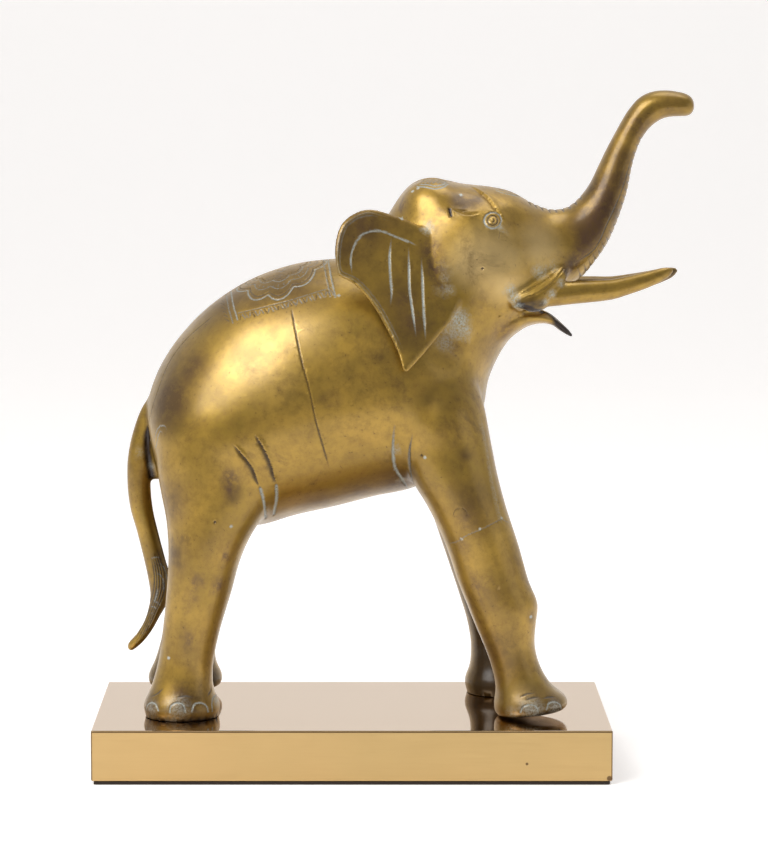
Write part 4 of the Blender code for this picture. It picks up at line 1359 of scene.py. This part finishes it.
# Brown patina from noise, and brown patches that are partly patina and partly painted shade.
film_and_shade = bronze.band(bronze.noise(38, 6, 0.75, 0.4), 0.51, 0.73, 0.0, 0.65)
worn = bronze.band(bronze.noise(80, 6, 0.75), 0.30, 0.60, 0.5, 1.0)
film_and_shade = bronze.math("MAXIMUM", film_and_shade, bronze.math("MULTIPLY", bronze.painted("brown_film_and_shade"), worn))
film_and_shade = bronze.math("MINIMUM", film_and_shade, 1.0)
colour = bronze.mix(film_and_shade, colour, BROWN)
blotched = bronze.band(bronze.noise(330, 5, 0.75), 0.36, 0.60, 0.25, 1.0)
colour = bronze.mix(bronze.math("MULTIPLY", bronze.painted("purple_film"), blotched), colour, PURPLE)
freckles = bronze.band(bronze.noise(520, 3, 0.65), 0.64, 0.76, 0.0, 0.45)
# Painted shade in the cuts, deepest where they sink deepest.
cut_shade = bronze.math("MULTIPLY", bronze.painted("cut_depth"), 0.85)
# Painted shade of the hollows, the cuts and the inner sides, with dark freckles of patina, turns the metal
# umber.
shade_and_freckles = bronze.math("MAXIMUM", bronze.painted("painted_shade"), cut_shade)
shade_and_freckles = bronze.math("MAXIMUM", shade_and_freckles, bronze.painted("inner_shade_and_grime"))
shade_and_freckles = bronze.math("MINIMUM", bronze.math("MAXIMUM", shade_and_freckles, freckles), 1.0)
colour = bronze.mix(shade_and_freckles, colour, UMBER)
crust = bronze.noise(950, 5, 0.75, 0.4)
chalk = bronze.math("MULTIPLY", bronze.painted("salts"), bronze.band(crust, 0.36, 0.62, 0.1, 0.95))
cut_chalk = bronze.math("MULTIPLY", bronze.painted("cut_salts"), bronze.band(crust, 0.3, 0.55, 0.4, 1.0))
chalk = bronze.math("MINIMUM", bronze.math("MAXIMUM", chalk, cut_chalk), 1.0)
colour = bronze.mix(chalk, colour, SALT)
rough = bronze.band(bronze.noise(90, 4, 0.6), 0.3, 0.7, 0.38, 0.52)
dull = bronze.math("MAXIMUM", bronze.math("MAXIMUM", chalk, shade_and_freckles), bronze.math("MULTIPLY", film_and_shade, 0.3))
rough = bronze.math("ADD", rough, bronze.math("MULTIPLY", dull, 0.3))
grain = bronze.math("ADD", bronze.noise(110, 4, 0.6), bronze.math("MULTIPLY", bronze.noise(900, 3), 0.1))
bump = bronze.add("Bump", Height=grain, Strength=0.35, Distance=0.4 * MM)
casting.data.materials.append(bronze.finish(
    Base_Color=colour, Roughness=rough, Normal=bump.outputs["Normal"],
    Metallic=bronze.math("SUBTRACT", 1.0, bronze.math("MULTIPLY", chalk, 0.9)),
    Coat_Weight=0.6, Coat_Roughness=0.26, Coat_IOR=1.6))
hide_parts("elephant")
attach(casting, "root")
print("bronze:", len(casting.data.polygons), "triangles")

# %% [markdown]
# The stand is a block faced with thin sheets of brass. Its top is polished like a mirror, its sides are
# brushed along their length, and the dark core of each sheet shows as a hairline along the edges. All three
# are one material here, told apart by place: the top by its height, the hairlines by their distance from
# the block's edges. A chipped corner and a spot on the front are placed by their pixels. Under the stand
# lies a thin dark pad of felt.

# %% The stand's brass and the pad under it
BRASS = (0.62, 0.42, 0.185)
BRASS_TOP_WITH_REFLECTION = (0.62, 0.46, 0.30)
TARNISH = (0.50, 0.37, 0.16)
SEAM = (0.10, 0.055, 0.03)
SEAM_WIDTH = 0.6 * MM
PAD_DARK = (0.018, 0.012, 0.009)
PAD_LIGHT = (0.05, 0.035, 0.025)
STAND_MARKS = (((609.5, 778.5), 1.5), ((527, 764), 0.8))     # a chipped corner and a spot: pixel, millimetres

stand_low, stand_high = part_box("plinth")


def on_front(pixel):
    """Return the point of the stand's front face that the photograph shows at a pixel."""
    ray = photo_ray(pixel)
    return CAMERA_PLACE + ray * ((stand_low.y - CAMERA_PLACE.y) / ray.y)


brass = Recipe("brass_sheet")
axes = brass.add("SeparateXYZ", Vector=brass.place).outputs
on_top = brass.band(axes["Z"], stand_high.z - 0.30 * MM, stand_high.z - 0.20 * MM)
seam_z = brass.math("COMPARE", axes["Z"], stand_high.z - SEAM_WIDTH * 1.1)
seam_z.node.inputs[2].default_value = SEAM_WIDTH / 2
edge_x = brass.math("GREATER_THAN", brass.math("ABSOLUTE", axes["X"]), stand_high.x - SEAM_WIDTH)
seams = brass.math("MULTIPLY", brass.math("MAXIMUM", seam_z, edge_x), brass.math("SUBTRACT", 1.0, on_top))
stretch = brass.add("Mapping", Vector=brass.place, Scale=(0.03, 0.03, 1.0)).outputs["Vector"]
brushed = brass.noise(1500, 4, 0.6, place=stretch)
tarnish = brass.band(brass.noise(9, 3, 0.5), 0.35, 0.7, 0.0, 0.35)
brass_colour = brass.mix(tarnish, BRASS, TARNISH)
# The top's brass is paler than the sides', partly a painted reflection of the pale paper.
brass_colour = brass.mix(on_top, brass_colour, BRASS_TOP_WITH_REFLECTION)
brass_colour = brass.mix(brass.math("MULTIPLY", seams, 0.8), brass_colour, SEAM)
for pixel, radius in STAND_MARKS:
    gap = brass.add("VectorMath", [("operation", "DISTANCE")])
    brass.feed(gap.inputs[0], brass.place)
    brass.feed(gap.inputs[1], on_front(pixel))
    mark = brass.band(gap.outputs["Value"], radius * 0.6 * MM, radius * MM, 0.85, 0.0)
    brass_colour = brass.mix(mark, brass_colour, SEAM)
smudges = brass.band(brass.noise(30, 4), 0.4, 0.7, 0.03, 0.09)
side_rough = brass.band(brushed, 0.3, 0.7, 0.30, 0.42)
brass_rough = brass.add("Mix", [("data_type", "FLOAT")])
brass.feed(brass_rough.inputs[0], on_top)
brass.feed(brass_rough.inputs[2], side_rough)
brass.feed(brass_rough.inputs[3], smudges)
brushing = brass.add("Bump", Height=brushed, Distance=0.05 * MM)
brass.feed(brushing.inputs["Strength"], brass.math("MULTIPLY", brass.math("SUBTRACT", 1.0, on_top), 0.12))
polished = brass.finish(Base_Color=brass_colour, Roughness=brass_rough.outputs[0], Metallic=1.0,
                        Normal=brushing.outputs["Normal"])

felt = Recipe("dark_pad_cloth")
fibres = felt.noise(2200, 3, 0.7)
felt_bump = felt.add("Bump", Height=fibres, Strength=0.5, Distance=0.2 * MM)
felt_cloth = felt.finish(Base_Color=felt.mix(fibres, PAD_DARK, PAD_LIGHT), Roughness=0.9,
                         Normal=felt_bump.outputs["Normal"])

for name, material in (("plinth", polished), ("underside_pad", felt_cloth)):
    node_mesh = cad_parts[name].data
    node_mesh.materials.clear()
    node_mesh.materials.append(material)

# %% [markdown]
# The light is a photographer's sweep: white paper lies under the object and curves up behind it. One large
# soft box stands in front and to the left, above the camera, where the broad highlight on the flank says it
# stood. A weaker one hangs overhead, and a very weak one fills the shadows from the right. The studio is grey
# towards the camera, and that is what gives metal its depth, because metal shows what stands round it.

# %% Paper sweep, studio and soft boxes
PAPER = (0.89, 0.872, 0.86)
PAPER_GLOW = 0.37            # light that passes through the paper from behind it
SWEEP_FRONT, SWEEP_BACK, SWEEP_TOP = -0.5, 2.3, 3.2
SWEEP_BEND = 0.7
SWEEP_HALF = 3.0
BEND_POINTS = 14
STUDIO_DARK, STUDIO_LIGHT = 0.29, 0.75       # how bright the studio is towards the camera and away from it
LIGHTS = (                   # name, place, what it is turned towards, size in metres, power in watts
    ("left_box", (-0.70, -0.80, 1.10), (0, 0, 0.18), 0.95, 15.8),
    ("fill_box", (1.3, -0.7, 0.3), (0, 0, 0.2), 0.9, 1.5),
    ("overhead_box", (0.3, 0.2, 1.6), (0, 0, 0.18), 0.8, 5),
)

outline = [(SWEEP_FRONT, 0.0), (SWEEP_BACK - SWEEP_BEND, 0.0)]
outline += [(SWEEP_BACK - SWEEP_BEND + SWEEP_BEND * math.sin(angle), SWEEP_BEND * (1 - math.cos(angle)))
            for angle in np.linspace(0.1, math.pi / 2, BEND_POINTS)]
outline.append((SWEEP_BACK, SWEEP_TOP))
paper_mesh = bmesh.new()
edge_verts = [paper_mesh.verts.new((-SWEEP_HALF, y, z)) for y, z in outline]
edge_lines = [paper_mesh.edges.new(pair) for pair in zip(edge_verts, edge_verts[1:])]
swept = bmesh.ops.extrude_edge_only(paper_mesh, edges=edge_lines)["geom"]
for part in swept:
    if isinstance(part, bmesh.types.BMVert):
        part.co.x = SWEEP_HALF
bmesh.ops.recalc_face_normals(paper_mesh, faces=paper_mesh.faces)
sweep = new_piece("paper_sweep", paper_mesh)
sweep.data.shade_smooth()
paper = Recipe("white_paper")
sweep.data.materials.append(paper.finish(
    Base_Color=(*PAPER, 1), Roughness=0.95, Specular_IOR_Level=0.1, Emission_Color=(1.0, 0.985, 0.975, 1),
    Emission_Strength=PAPER_GLOW))

world = bpy.data.worlds.new("studio")
bpy.context.scene.world = world
world.use_nodes = True
tent = world.node_tree
backdrop = tent.nodes["Background"]
direction = tent.nodes.new("ShaderNodeSeparateXYZ")
tent.links.new(tent.nodes.new("ShaderNodeTexCoord").outputs["Generated"], direction.inputs[0])
falloff = tent.nodes.new("ShaderNodeMapRange")
falloff.interpolation_type = "SMOOTHSTEP"
for name, value in (("From Min", -0.6), ("From Max", 0.6), ("To Min", STUDIO_DARK), ("To Max", STUDIO_LIGHT)):
    falloff.inputs[name].default_value = value
tent.links.new(direction.outputs["Y"], falloff.inputs["Value"])
tent.links.new(falloff.outputs["Result"], backdrop.inputs["Strength"])
backdrop.inputs["Color"].default_value = (1.0, 0.99, 0.985, 1)


def soft_box(name, spot, target, size, power):
    """Hang a square soft light at a spot, turned towards a target."""
    data = bpy.data.lights.new(name, "AREA")
    data.shape = "SQUARE"
    data.size = size
    data.energy = power
    lamp = bpy.data.objects.new(name, data)
    lamp.location = spot
    lamp.rotation_euler = (Vector(target) - Vector(spot)).to_track_quat("-Z", "Y").to_euler()
    bpy.context.scene.collection.objects.link(lamp)


for light in LIGHTS:
    soft_box(*light)
print("soft boxes:", ", ".join(light[0] for light in LIGHTS))

scene = bpy.context.scene
scene.view_settings.view_transform = "Standard"
scene.cycles.use_denoising = True
